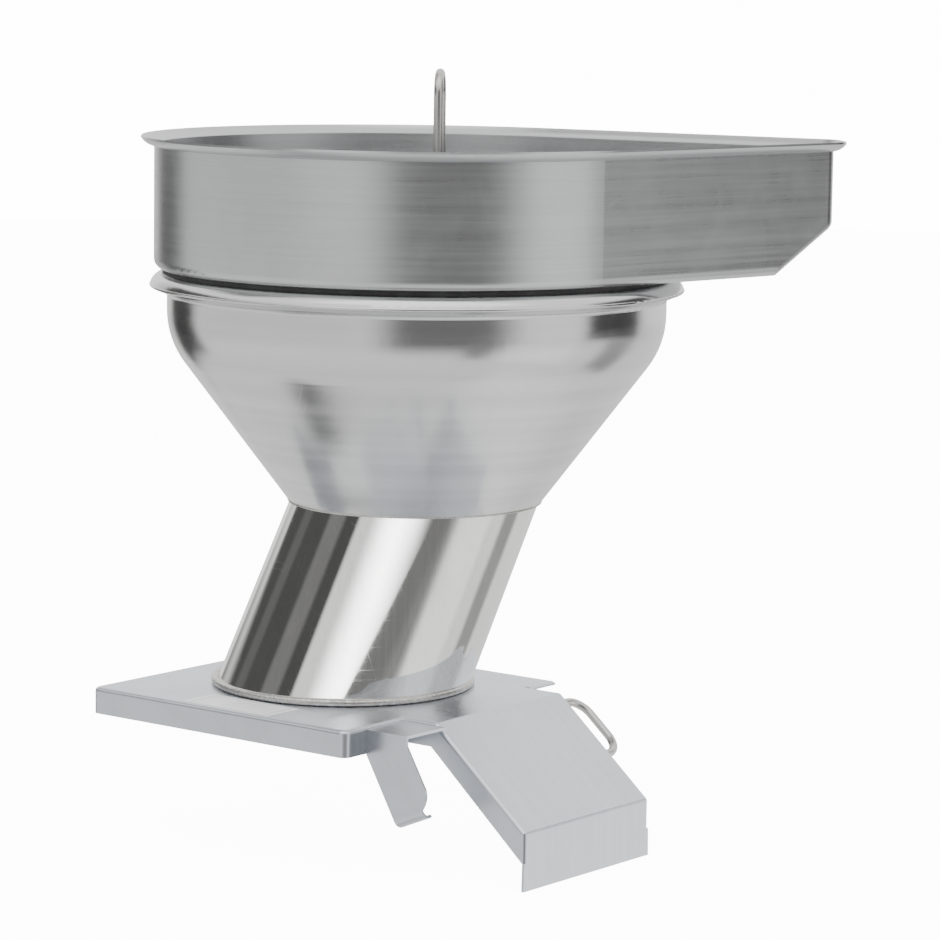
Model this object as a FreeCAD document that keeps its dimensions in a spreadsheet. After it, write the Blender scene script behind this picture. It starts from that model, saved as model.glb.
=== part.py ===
import FreeCAD, Part
import math
import os
from types import SimpleNamespace

import Sketcher
from FreeCAD import Placement, Rotation, Vector

# Feed hopper head of a vegetable cutting machine: a folded cover plate with an outlet hood, a leaning
# feed tube, a spun hopper bowl, a loading tray that lifts off, and an agitator turned by the machine.
# Millimetres. +Z is up, -Y is the side where the cut food leaves, and the origin is on the machine's
# drive axis at the top face of the cover plate.

DIMENSIONS = {
    # sheet metal
    "gauge": 2.0,
    "thin_gauge": 1.5,
    "fold_radius": 3.0,
    # cover plate
    "plate_width": 235.0,
    "plate_depth": 230.0,
    "plate_centre_x": -13.5,
    "plate_centre_y": 3.0,
    "plate_corner": 6.0,
    "skirt_drop": 18.5,
    "skirt_gap": 22.0,
    "tongue_left": -68.0,
    "tongue_width": 140.0,
    "tongue_reach": 26.0,
    "hood_run": 76.0,
    "hood_drop": 64.0,
    "hood_cheek": 22.5,
    "tongue_cheek": 17.0,
    "apron_drop": 39.5,
    "apron_flare": 0.5,
    # feed tube
    "heading": -45.0,
    "lean_run": 49.0,
    "tube_rise": 129.5,
    "tube_foot": 89.2,
    "tube_head": 87.0,
    "bead_radius": 2.7,
    "bead_circle": 89.8,
    "bead_gap": 0.1,
    # hopper bowl
    "cone_mouth": 88.6,
    "cone_angle": 37.1,
    "band_radius": 173.4,
    "band_low": 262.0,
    "band_high": 272.0,
    "knuckle": 60.0,
    "rim_reach": 185.5,
    "rim_tip": 279.5,
    "rim_top": 288.0,
    "rim_shelf": 177.0,
    "rim_neck": 2.6,
    "rim_neck_bend": 4.0,
    "rim_edge": 1.4,
    "rim_crown": 11.0,
    "seal_clearance": 0.5,
    # loading tray
    "tray_base": 290.5,
    "tray_radius": 182.5,
    "tray_depth": 85.5,
    "tray_taper": 36.0,
    "tray_reach": 290.0,
    "tray_nose": 12.0,
    "tray_corner": 7.0,
    "ramp_start": 243.0,
    "ramp_rise": 32.5,
    "lip_reach": 8.8,
    "lip_rise": 6.0,
    "lip_bend": 14.0,
    "lip_edge": 1.4,
    "tray_hole": 169.1,
    "spigot_drop": 14.5,
    # agitator
    "arm_heading": -55.4,
    "hub_radius": 21.0,
    "hub_low": -8.0,
    "hub_high": 32.0,
    "hub_chamfer": 2.0,
    "set_screw_radius": 3.0,
    "set_screw_socket": 1.7,
    "drive_radius": 8.0,
    "drive_depth": 26.0,
    "key_width": 5.0,
    "key_depth": 7.0,
    "socket_depth": 12.0,
    "bar_radius": 3.25,
    "leg_half_gap": 15.0,
    "leg_straight": 140.0,
    "loop_reach": 63.0,
    "loop_low": 203.0,
    "loop_top": 430.0,
    "loop_bend": 25.0,
    # seat on the machine
    "spigot_radius": 93.0,
    "spigot_bore": 89.0,
    "seat_depth": 14.0,
    "spigot_lead": 1.0,
    "gasket_radius": 99.5,
    "gasket_thickness": 2.5,
    # interlock magnet under the plate
    "holder_x": -105.0,
    "holder_y": 97.0,
    "holder_length": 32.0,
    "holder_width": 16.0,
    "holder_height": 10.0,
    "magnet_radius": 5.0,
    "magnet_thickness": 5.0,
    "boss_radius": 3.5,
    "boss_height": 6.0,
    "screw_spread": 11.0,
    "screw_radius": 2.0,
    "screw_head": 3.0,
    "screw_head_radius": 3.5,
    "screw_socket": 1.6,
    "screw_socket_depth": 1.8,
    "screw_length": 8.0,
    "screw_play": 0.2,
    # hinge lugs under the plate's back edge
    "lug_left": -80.0,
    "lug_right": 58.0,
    "lug_y": 104.0,
    "lug_width": 18.0,
    "lug_drop": 23.0,
    "lug_thickness": 3.0,
    "lug_eye": 5.5,
    "bush_bore": 4.1,
    "bush_flange": 7.5,
    "bush_lip": 1.5,
    # blank label
    "label_left": -127.5,
    "label_right": -95.0,
    "label_low": -42.0,
    "label_high": 36.0,
    "label_thickness": 0.3,
    # latch strip beside the hood
    "latch_reach": 41.0,
    "latch_width": 34.0,
    "latch_shoulder": 9.0,
    "latch_neck": 19.0,
    "latch_belly": 36.0,
    "latch_toe": 50.5,
    "latch_heel": 24.0,
    "latch_end_run": 23.5,
    "latch_end_rise": 10.0,
    "latch_end_round": 16.0,
    "latch_drop": 60.0,
    "latch_curl": 6.0,
    # lifting bow
    "bow_radius": 3.0,
    "bow_reach": 23.0,
    "bow_bend": 14.0,
    "bow_near": 4.0,
    "bow_far": 52.0,
    "bow_depth": 8.0,
}

doc = FreeCAD.newDocument("feed_hopper_head")
dims = doc.addObject("Spreadsheet::Sheet", "dims")


class Size:
    """A driving dimension, or a formula of several: its present number and its bound expression."""

    def __init__(self, number, formula):
        self.number = float(number)
        self.formula = formula

    def __add__(self, other):
        other = size(other)
        return Size(self.number + other.number, f"({self.formula} + {other.formula})")

    def __sub__(self, other):
        other = size(other)
        return Size(self.number - other.number, f"({self.formula} - {other.formula})")

    def __mul__(self, other):
        other = size(other)
        return Size(self.number * other.number, f"({self.formula} * {other.formula})")

    def __truediv__(self, other):
        other = size(other)
        return Size(self.number / other.number, f"({self.formula} / {other.formula})")

    def __neg__(self):
        return Size(-self.number, f"(-1 * {self.formula})")


def size(value):
    if isinstance(value, Size):
        return value
    text = f"{value:g}" if value >= 0 else f"(0 - {-value:g})"
    return Size(value, text)


def cosine(angle):
    return Size(math.cos(math.radians(angle.number)), f"cos({angle.formula})")


def sine(angle):
    return Size(math.sin(math.radians(angle.number)), f"sin({angle.formula})")


def arc_tangent(rise, run):
    degrees = math.degrees(math.atan2(rise.number, run.number))
    return Size(degrees, f"atan({rise.formula} / {run.formula})")


def hypotenuse(rise, run):
    formula = f"sqrt({rise.formula} * {rise.formula} + {run.formula} * {run.formula})"
    return Size(math.hypot(rise.number, run.number), formula)


def fill_sheet():
    """Writes each driving dimension to its own cell and returns the dimensions by name."""
    named = {}
    for row, (word, number) in enumerate(DIMENSIONS.items(), start=1):
        dims.set(f"A{row}", word)
        dims.set(f"B{row}", f"{number:g}")
        dims.setAlias(f"B{row}", word)
        named[word] = Size(number, f"dims.{word}")
    doc.recompute()
    return SimpleNamespace(**named)


d = fill_sheet()


def bind(thing, **properties):
    """Binds properties of an object, with __ for a dot in their names, to formulas of the sheet."""
    for name, value in properties.items():
        thing.setExpression(name.replace("__", "."), size(value).formula)


def new_body(label):
    body = doc.addObject("PartDesign::Body", label)
    body.Label = label
    return body


def place(thing, across=0, along=0, up=0, turn=None):
    """Binds an object's Placement: a shift, and a turn about +Z."""
    bind(thing, Placement__Base__x=across, Placement__Base__y=along, Placement__Base__z=up)
    if turn is not None:
        thing.Placement = Placement(Vector(0, 0, 0), Rotation(Vector(0, 0, 1), 1))
        bind(thing, Placement__Rotation__Angle=turn)


def new_sketch(body, name, role, lift=0, tilt=None):
    """A sketch on one of the body's origin planes, lifted along its normal, or tilted about its own X."""
    sketch = body.newObject("Sketcher::SketchObject", name)
    planes = [item for item in body.Origin.OriginFeatures if item.Role == role]
    sketch.AttachmentSupport = [(planes[0], "")]
    sketch.MapMode = "FlatFace"
    if tilt is not None:
        sketch.AttachmentOffset = Placement(Vector(0, 0, 0), Rotation(Vector(1, 0, 0), 1))
        bind(sketch, AttachmentOffset__Rotation__Angle=tilt)
    bind(sketch, AttachmentOffset__Base__z=lift)
    return sketch


def arc_between(start, end, radius):
    """The shorter arc from start to end. A positive radius bulges to the right of the way along it."""
    chord = end - start
    middle = (start + end) * 0.5
    side = Vector(-chord.y, chord.x, 0).normalize() * math.copysign(1, radius)
    centre = middle + side * math.sqrt(max(radius * radius - chord.Length**2 / 4, 0))
    first, last = (start, end) if radius > 0 else (end, start)
    angles = [math.atan2(p.y - centre.y, p.x - centre.x) for p in (first, last)]
    circle = Part.Circle(centre, Vector(0, 0, 1), abs(radius))
    return Part.ArcOfCircle(circle, angles[0], angles[1])


def draw(sketch, path, closed=True):
    """Draws a path of corners, (across, up) or (across, up, radius) where an arc leads to that corner."""
    corners = [tuple(size(value) for value in corner) for corner in path]
    points = [Vector(corner[0].number, corner[1].number, 0) for corner in corners]
    first = 0 if closed else 1
    ends = []
    for index in range(first, len(corners)):
        start, end = points[index - 1], points[index]
        if len(corners[index]) == 3:
            radius = corners[index][2]
            edge = sketch.addGeometry(arc_between(start, end, radius.number))
            turned = radius.number < 0
            ends.append((edge, 2, 1) if turned else (edge, 1, 2))
        else:
            edge = sketch.addGeometry(Part.LineSegment(start, end))
            ends.append((edge, 1, 2))
    joints = list(zip(ends, ends[1:] + ends[:1])) if closed else list(zip(ends, ends[1:]))
    for before, after in joints:
        sketch.addConstraint(
            Sketcher.Constraint("Coincident", before[0], before[2], after[0], after[1])
        )
    anchors = [(ends[i][0], ends[i][2], corners[i + first]) for i in range(len(ends))]
    if not closed:
        anchors.insert(0, (ends[0][0], ends[0][1], corners[0]))
    for edge, position, corner in anchors:
        for kind, value in (("DistanceX", corner[0]), ("DistanceY", corner[1])):
            rule = Sketcher.Constraint(kind, -1, 1, edge, position, value.number)
            fix(sketch, rule, value)
    for (edge, _, _), corner in zip(ends, corners[first:]):
        if len(corner) == 3:
            radius = corner[2] if corner[2].number > 0 else -corner[2]
            fix(sketch, Sketcher.Constraint("Radius", edge, radius.number), radius)
    return sketch


def fix(sketch, rule, value):
    number = sketch.addConstraint(rule)
    sketch.setExpression(f"Constraints[{number}]", value.formula)


def draw_circle(sketch, radius, across=0, up=0):
    radius, across, up = size(radius), size(across), size(up)
    centre = Vector(across.number, up.number, 0)
    edge = sketch.addGeometry(Part.Circle(centre, Vector(0, 0, 1), radius.number))
    for kind, value in (("DistanceX", across), ("DistanceY", up)):
        fix(sketch, Sketcher.Constraint(kind, -1, 1, edge, 3, value.number), value)
    fix(sketch, Sketcher.Constraint("Radius", edge, radius.number), radius)
    return sketch


def rectangle(left, low, right, high):
    return [(left, low), (right, low), (right, high), (left, high)]


def settle(feature):
    """Recomputes the document and stops if the feature, or the sketch under it, failed."""
    doc.recompute()
    for item in [feature] + feature.OutList:
        if {"Invalid", "Error"} & set(item.State):
            raise RuntimeError(f"{item.Name}: {item.getStatusString()}")
    return feature


def pad(body, sketch, length, reverse=False):
    feature = body.newObject("PartDesign::Pad", "Pad")
    feature.Profile = sketch
    feature.Reversed = reverse
    bind(feature, Length=length)
    return settle(feature)


def pocket(body, sketch, length, reverse=False):
    """Cuts a pocket and makes sure that it took material away."""
    before = body.Shape.Volume
    feature = body.newObject("PartDesign::Pocket", "Pocket")
    feature.Profile = sketch
    feature.Reversed = reverse
    bind(feature, Length=length)
    settle(feature)
    if body.Shape.Volume > before - 1:
        raise RuntimeError(f"{sketch.Name} in {body.Label} cut nothing")
    return feature


def revolve(body, sketch, angle=360.0, axis="V_Axis"):
    feature = body.newObject("PartDesign::Revolution", "Revolution")
    feature.Profile = sketch
    feature.ReferenceAxis = (sketch, [axis])
    feature.Angle = angle
    return settle(feature)


def sweep(body, section, path):
    pipe = body.newObject("PartDesign::AdditivePipe", "Pipe")
    pipe.Profile = section
    pipe.Spine = path
    return settle(pipe)


def drill(body, radius, places, start, depth):
    """Cuts upright round holes at the places, from the height start upwards."""
    for across, along in places:
        hole = new_sketch(body, "hole", "XY_Plane", lift=start)
        draw_circle(hole, radius, across, along)
        pocket(body, hole, depth, reverse=True)


def round_edges(body, radius, chosen):
    """Fillets the edges of the body that chosen(edge) picks."""
    doc.recompute()
    base = body.Tip
    names = [f"Edge{i}" for i, edge in enumerate(base.Shape.Edges, 1) if chosen(edge)]
    if not names:
        raise RuntimeError(f"no edge to round on {body.Label}")
    feature = body.newObject("PartDesign::Fillet", "Fillet")
    feature.Base = (base, names)
    bind(feature, Radius=radius)
    return settle(feature)


def near(one, other, slack=0.01):
    return abs(one - other) < slack


def upright(edge):
    box = edge.BoundBox
    return box.ZLength > 1 and box.XLength < 0.01 and box.YLength < 0.01


# Derived places that several pieces share
plate_left = d.plate_centre_x - d.plate_width / 2
plate_right = d.plate_centre_x + d.plate_width / 2
plate_front = d.plate_centre_y - d.plate_depth / 2
plate_back = d.plate_centre_y + d.plate_depth / 2
tongue_right = d.tongue_left + d.tongue_width
tongue_root = plate_front + d.fold_radius + d.gauge
fold_line = plate_front - d.tongue_reach
hood_end = fold_line - d.hood_run
axis_x = d.lean_run * cosine(d.heading)
axis_y = d.lean_run * sine(d.heading)
screw_places = [(d.holder_x - d.screw_spread, d.holder_y), (d.holder_x + d.screw_spread, d.holder_y)]
lug_places = [d.lug_left, d.lug_right]


def cover_plate():
    """Folded square plate with skirts, a hole for the feed tube and a notch where the hood is welded in."""
    body = new_body("cover_plate")
    corner = d.plate_corner
    top = new_sketch(body, "top_outline", "XY_Plane")
    draw(top, [
        (plate_left, plate_front + corner),
        (plate_left + corner, plate_front, corner),
        (plate_right - corner, plate_front),
        (plate_right, plate_front + corner, corner),
        (plate_right, plate_back - corner),
        (plate_right - corner, plate_back, corner),
        (plate_left + corner, plate_back),
        (plate_left, plate_back - corner, corner),
    ])
    pad(body, top, d.skirt_drop, reverse=True)
    round_edges(body, d.fold_radius, lambda edge: near(edge.BoundBox.ZMin, 0, 0.001))
    low = -d.skirt_drop
    margin = d.gauge + 1
    height = d.skirt_drop - d.gauge
    for name, outline, depth in (
        ("skirt_inside", rectangle(plate_left + d.gauge, plate_front + d.gauge,
                                   plate_right - d.gauge, plate_back - d.gauge), height),
        ("right_gap", rectangle(plate_right - margin, plate_front - margin,
                                plate_right + margin, plate_front + d.skirt_gap), height),
        ("front_gap", rectangle(tongue_right - margin, plate_front - margin,
                                plate_right + margin, plate_front + margin), height),
        ("tongue_notch", rectangle(d.tongue_left, plate_front - margin,
                                   tongue_right, tongue_root), d.skirt_drop * 2),
    ):
        sketch = new_sketch(body, name, "XY_Plane", lift=low)
        draw(sketch, outline)
        pocket(body, sketch, depth, reverse=True)
    hole = new_sketch(body, "feed_hole", "XY_Plane")
    draw_circle(hole, d.tube_foot - d.thin_gauge)
    pocket(body, hole, d.gauge * 2)
    return body


def outlet_hood():
    """Tongue level with the plate that folds down to a sloped hood with cheeks and an apron."""
    body = new_body("outlet_hood")
    left, right = d.tongue_left, tongue_right
    side = new_sketch(body, "side", "YZ_Plane", lift=left)
    draw(side, [
        (tongue_root, 0),
        (tongue_root, -d.tongue_cheek),
        (fold_line + d.gauge * 2, -d.tongue_cheek),
        (hood_end, -(d.hood_drop + d.hood_cheek)),
        (hood_end, -d.hood_drop),
        (fold_line, 0),
    ])
    pad(body, side, d.tongue_width)

    def outer_fold(edge):
        """The two folds across the hood, and the edges of its top, its slope and its end."""
        box = edge.BoundBox
        across = box.XLength > 1 and box.YLength < 0.01 and box.ZLength < 0.01
        if across:
            return near(box.YMin, fold_line.number) or near(box.ZMin, -d.hood_drop.number)
        if near(box.YMin, hood_end.number) and near(box.YMax, hood_end.number):
            return True
        return box.YLength > 1 and (near(box.ZMin, 0) or near(box.ZMin, -d.hood_drop.number))

    round_edges(body, d.fold_radius, outer_fold)
    hollow = new_sketch(body, "hollow", "YZ_Plane", lift=left + d.gauge)
    below = -(d.hood_drop + d.hood_cheek * 2)
    draw(hollow, [
        (tongue_root + 1, -d.gauge),
        (tongue_root + 1, below),
        (hood_end + d.gauge, below),
        (hood_end + d.gauge, -(d.hood_drop + d.gauge * 0.45)),
        (fold_line + d.gauge * 0.35, -d.gauge),
    ])
    pocket(body, hollow, d.tongue_width - d.gauge * 2, reverse=True)
    apron = new_sketch(body, "apron", "XZ_Plane", lift=-hood_end)
    apron_top = -(d.hood_drop + d.hood_cheek - d.gauge)
    apron_low = -(d.hood_drop + d.apron_drop)
    draw(apron, [
        (left, apron_top),
        (right, apron_top),
        (right + d.apron_flare, apron_low),
        (left - d.apron_flare, apron_low),
    ])
    pad(body, apron, d.gauge, reverse=True)
    return body


def leaning_loft(body, kind, foot, head, name):
    """A loft between the circles at the foot and the head of the leaning tube."""
    low = new_sketch(body, f"{name}_foot", "XY_Plane")
    draw_circle(low, foot)
    high = new_sketch(body, f"{name}_head", "XY_Plane", lift=d.tube_rise)
    draw_circle(high, head, axis_x, axis_y)
    loft = body.newObject(kind, "Loft")
    loft.Profile = low
    loft.Sections = [high]
    loft.Ruled = True
    return settle(loft)


def feed_tube():
    """Leaning round tube, slightly narrower at its head."""
    body = new_body("feed_tube")
    leaning_loft(body, "PartDesign::AdditiveLoft", d.tube_foot, d.tube_head, "outside")
    leaning_loft(body, "PartDesign::SubtractiveLoft", d.tube_foot - d.thin_gauge,
                 d.tube_head - d.thin_gauge, "inside")
    return body


def tube_base_ring():
    """A round bead round the tube's foot, where the tube is welded to the plate."""
    body = new_body("tube_base_ring")
    bead = new_sketch(body, "bead", "XZ_Plane")
    draw_circle(bead, d.bead_radius, d.bead_circle, d.bead_radius)
    revolve(body, bead)
    leaning_loft(body, "PartDesign::SubtractiveLoft", d.tube_foot + d.bead_gap,
                 d.tube_head + d.bead_gap, "tube")
    return body


def hopper_bowl():
    """Spun bowl: cone, knuckle, short band and a rolled rim that droops outwards."""
    body = new_body("hopper_bowl")
    wall = d.thin_gauge
    angle = d.cone_angle
    wall_across = wall / cosine(angle)
    inner_knuckle = d.knuckle - wall
    centre = d.band_radius - d.knuckle
    profile = new_sketch(body, "profile", "XZ_Plane")
    draw(profile, [
        (d.cone_mouth - wall_across, d.tube_rise),
        (d.cone_mouth, d.tube_rise),
        (centre + d.knuckle * cosine(angle), d.band_low - d.knuckle * sine(angle)),
        (d.band_radius, d.band_low, d.knuckle),
        (d.band_radius, d.band_high),
        (d.band_radius + 2, d.band_high + d.rim_neck, -d.rim_neck_bend),
        (d.rim_reach - 1, d.rim_tip - d.rim_edge),
        (d.rim_reach - 0.4, d.rim_tip + 1, d.rim_edge),
        (d.rim_shelf, d.rim_top, d.rim_crown),
        (d.band_radius - wall, d.rim_top),
        (d.band_radius - wall, d.band_low),
        (centre + inner_knuckle * cosine(angle), d.band_low - inner_knuckle * sine(angle),
         -inner_knuckle),
    ])
    revolve(body, profile)
    place(body, axis_x, axis_y)
    return body


def rim_seal():
    """Rubber ring on the shelf of the rim, on which the tray rests."""
    body = new_body("rim_seal")
    profile = new_sketch(body, "profile", "XZ_Plane")
    draw(profile, rectangle(d.band_radius - d.thin_gauge + d.seal_clearance, d.rim_top,
                            d.rim_shelf - d.seal_clearance, d.tray_base))
    revolve(body, profile)
    place(body, axis_x, axis_y)
    return body


def tray_outline(offset=0.0):
    """The teardrop outline: a big round, two tapering sides and a blunt nose, grown by offset."""
    radius = d.tray_radius + offset
    reach = d.tray_reach + offset
    nose = d.tray_nose + offset
    taper = d.tray_taper
    centre_up = (radius - nose - (reach - nose) * sine(taper)) / cosine(taper)
    nose_x = reach - nose
    side = (nose_x + nose * sine(taper), centre_up + nose * cosine(taper))
    shoulder = (radius * sine(taper), radius * cosine(taper))
    return [
        (reach, -centre_up, nose),
        (reach, centre_up),
        (side[0], side[1], nose),
        shoulder,
        (-radius, 0, radius),
        (shoulder[0], -shoulder[1], radius),
        (side[0], -side[1]),
    ]


def loading_tray():
    """Deep tray with a rounded foot, a ramp at its nose, an open mouth and a flared lip."""
    body = new_body("loading_tray")
    outline = new_sketch(body, "outline", "XY_Plane", lift=d.tray_base)
    draw(outline, tray_outline())
    pad(body, outline, d.tray_depth)
    wedge = new_sketch(body, "ramp", "XZ_Plane", lift=d.tray_radius)
    beyond = d.tray_reach + 10
    rise = d.ramp_rise * (beyond - d.ramp_start) / (d.tray_reach - d.ramp_start)
    draw(wedge, [
        (d.ramp_start, d.tray_base),
        (beyond, d.tray_base),
        (beyond, d.tray_base + rise),
    ])
    pocket(body, wedge, d.tray_radius * 2)
    top = (d.tray_base + d.tray_depth).number
    foot = (d.tray_base + d.ramp_rise).number + 3
    bottom = d.tray_base.number

    def on_foot(edge):
        box = edge.BoundBox
        crease = near(box.ZMax, bottom) and near(box.XMin, d.ramp_start.number)
        return box.ZMax < foot and box.ZMax < top and not crease and not upright(edge)

    round_edges(body, d.tray_corner, on_foot)
    block = body.Tip
    lid = [i for i, face in enumerate(block.Shape.Faces, 1) if near(face.BoundBox.ZMin, top)]
    shell = body.newObject("PartDesign::Thickness", "Shell")
    shell.Base = (block, [f"Face{lid[0]}"])
    shell.Reversed = True
    bind(shell, Value=d.thin_gauge)
    settle(shell)
    path = new_sketch(body, "lip_path", "XY_Plane", lift=d.tray_base + d.tray_depth)
    draw(path, tray_outline())
    section = new_sketch(body, "lip_section", "XZ_Plane")
    edge_x = -d.tray_radius
    level = d.tray_base + d.tray_depth
    draw(section, [
        (edge_x + d.thin_gauge, level - 1),
        (edge_x + d.thin_gauge, level),
        (edge_x - d.lip_reach, level + d.lip_rise, -d.lip_bend),
        (edge_x - d.lip_reach - 0.3, level + d.lip_rise - d.lip_edge),
        (edge_x, level - 1, d.lip_bend - d.thin_gauge),
    ])
    sweep(body, section, path)
    mouth = new_sketch(body, "mouth", "XY_Plane", lift=d.tray_base - 1)
    draw_circle(mouth, d.tray_hole)
    pocket(body, mouth, d.thin_gauge + 3, reverse=True)
    place(body, axis_x, axis_y, turn=d.heading)
    return body


def tray_spigot():
    """Ring under the tray's mouth that drops into the bowl and keeps the tray in place."""
    body = new_body("tray_spigot")
    profile = new_sketch(body, "profile", "XZ_Plane")
    draw(profile, rectangle(d.tray_hole, d.tray_base - d.spigot_drop,
                            d.tray_hole + d.thin_gauge, d.tray_base))
    revolve(body, profile)
    place(body, axis_x, axis_y)
    return body


def agitator_hub():
    """Turned boss with a blind bore and a key slot for the machine's shaft, and two leg sockets."""
    body = new_body("agitator_hub")
    profile = new_sketch(body, "profile", "XZ_Plane")
    chamfer = d.hub_chamfer
    draw(profile, [
        (d.drive_radius, d.hub_low),
        (d.hub_radius - chamfer, d.hub_low),
        (d.hub_radius, d.hub_low + chamfer),
        (d.hub_radius, d.hub_high - chamfer),
        (d.hub_radius - chamfer, d.hub_high),
        (0, d.hub_high),
        (0, d.hub_low + d.drive_depth),
        (d.drive_radius, d.hub_low + d.drive_depth),
    ])
    revolve(body, profile)
    key = new_sketch(body, "key_slot", "XY_Plane", lift=d.hub_low)
    draw(key, rectangle(-d.key_width / 2, -(d.hub_radius + 1), d.key_width / 2, d.hub_radius + 1))
    pocket(body, key, d.key_depth, reverse=True)
    for sign in (1, -1):
        socket = new_sketch(body, "socket", "XY_Plane", lift=d.hub_high)
        draw_circle(socket, d.bar_radius, 0, d.leg_half_gap * sign)
        pocket(body, socket, d.socket_depth)
    screw_hole = new_sketch(body, "screw_hole", "YZ_Plane")
    draw_circle(screw_hole, d.set_screw_radius, 0, d.hub_low + d.drive_depth / 2)
    pocket(body, screw_hole, d.hub_radius + 1, reverse=True)
    place(body, turn=d.arm_heading)
    return body


def hexagon(size_across, across, up):
    """Corners of a hexagon socket about a point."""
    turns = [math.radians(60 * k) for k in range(6)]
    return [(across + size_across * math.cos(turn), up + size_across * math.sin(turn)) for turn in turns]


def hub_set_screw():
    """Grub screw that locks the hub to the machine's shaft."""
    body = new_body("hub_set_screw")
    level = d.hub_low + d.drive_depth / 2
    outline = new_sketch(body, "outline", "YZ_Plane", lift=d.drive_radius + 0.5)
    draw_circle(outline, d.set_screw_radius, 0, level)
    pad(body, outline, d.hub_radius - d.drive_radius - 1.5)
    recess = new_sketch(body, "socket", "YZ_Plane", lift=d.hub_radius - 1)
    draw(recess, hexagon(d.set_screw_socket, size(0), level))
    pocket(body, recess, d.set_screw_radius)
    place(body, turn=d.arm_heading)
    return body


def agitator_loop():
    """Round bar bent to a hairpin: two legs rise from the hub, crank outwards and join at the top."""
    body = new_body("agitator_loop")
    crank = d.loop_low - d.leg_straight
    slope = math.atan2(d.loop_reach.number, crank.number)
    bend = d.loop_bend
    cut = bend * math.tan(slope / 2)
    dx, dz = cut * math.sin(slope), cut * math.cos(slope)
    foot = d.hub_high - d.socket_depth
    arch = d.loop_top - d.bar_radius - d.leg_half_gap
    for sign, side in ((1, "left"), (-1, "right")):
        start = new_sketch(body, f"{side}_section", "XY_Plane", lift=foot)
        draw_circle(start, d.bar_radius, 0, d.leg_half_gap * sign)
        path = new_sketch(body, f"{side}_path", "XZ_Plane", lift=-(d.leg_half_gap * sign))
        draw(path, [
            (0, foot),
            (0, d.leg_straight - cut),
            (dx, d.leg_straight + dz, -bend),
            (d.loop_reach - dx, d.loop_low - dz),
            (d.loop_reach, d.loop_low + cut, bend),
            (d.loop_reach, arch),
        ], closed=False)
        sweep(body, start, path)
    section = new_sketch(body, "arch_section", "XY_Plane", lift=arch)
    draw_circle(section, d.bar_radius, d.loop_reach, d.leg_half_gap)
    half = body.newObject("PartDesign::Revolution", "Arch")
    half.Profile = section
    half.ReferenceAxis = (section, ["H_Axis"])
    half.Angle = 180
    doc.recompute()
    if body.Shape.BoundBox.ZMax < d.loop_top.number - 1:
        half.Reversed = True
        doc.recompute()
    place(body, turn=d.arm_heading)
    return body


def locating_ring():
    """Spigot under the plate that centres the head on the machine, with a shoulder for the gasket."""
    body = new_body("locating_ring")
    profile = new_sketch(body, "profile", "XZ_Plane")
    shoulder = d.spigot_radius + d.gauge
    seat = -d.gauge - d.gasket_thickness
    draw(profile, [
        (d.spigot_bore, -d.seat_depth),
        (d.spigot_radius - d.spigot_lead, -d.seat_depth),
        (d.spigot_radius, -d.seat_depth + d.spigot_lead),
        (d.spigot_radius, seat),
        (shoulder, seat),
        (shoulder, -d.gauge),
        (d.spigot_bore, -d.gauge),
    ])
    revolve(body, profile)
    return body


def seat_gasket():
    """Flat rubber ring round the spigot's shoulder."""
    body = new_body("seat_gasket")
    profile = new_sketch(body, "profile", "XZ_Plane")
    draw(profile, rectangle(d.spigot_radius + d.gauge, -d.gauge - d.gasket_thickness,
                            d.gasket_radius, -d.gauge))
    revolve(body, profile)
    return body


def latch_tab():
    """Bent strip beside the hood: a ledge welded to the tongue's cheek, and a raked, curled leg."""
    body = new_body("latch_tab")
    outer = d.tongue_left - d.latch_reach
    ledge = new_sketch(body, "ledge", "XZ_Plane", lift=-plate_front)
    draw(ledge, rectangle(outer, -d.gauge * 2, d.tongue_left, -d.gauge))
    pad(body, ledge, d.latch_width)
    leg = new_sketch(body, "leg", "YZ_Plane", lift=outer)
    draw(leg, [
        (plate_front, -d.gauge),
        (plate_front - d.latch_width, -d.gauge),
        (plate_front - d.latch_width - 0.5, -d.latch_shoulder),
        (plate_front - d.latch_toe, -d.latch_belly),
        (plate_front - d.latch_heel - d.latch_end_run, -d.latch_drop + d.latch_end_rise,
         d.latch_end_round),
        (plate_front - d.latch_heel, -d.latch_drop),
        (plate_front, -d.latch_neck),
    ])
    pad(body, leg, d.gauge)
    slant = arc_tangent(d.latch_end_rise, d.latch_end_run)
    curl = new_sketch(body, "curl", "XZ_Plane", lift=d.latch_heel - plate_front, tilt=-slant)
    bind(curl, AttachmentOffset__Base__y=-d.latch_drop)
    bend = d.latch_curl
    inner = bend - d.gauge
    turn = math.radians(60)
    draw(curl, [
        (outer + d.gauge, 0, -inner),
        (outer, 0),
        (outer + bend + bend * math.cos(turn), -bend * math.sin(turn), bend),
        (outer + bend + inner * math.cos(turn), -inner * math.sin(turn)),
    ])
    pad(body, curl, hypotenuse(d.latch_end_run, d.latch_end_rise))
    return body


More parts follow.
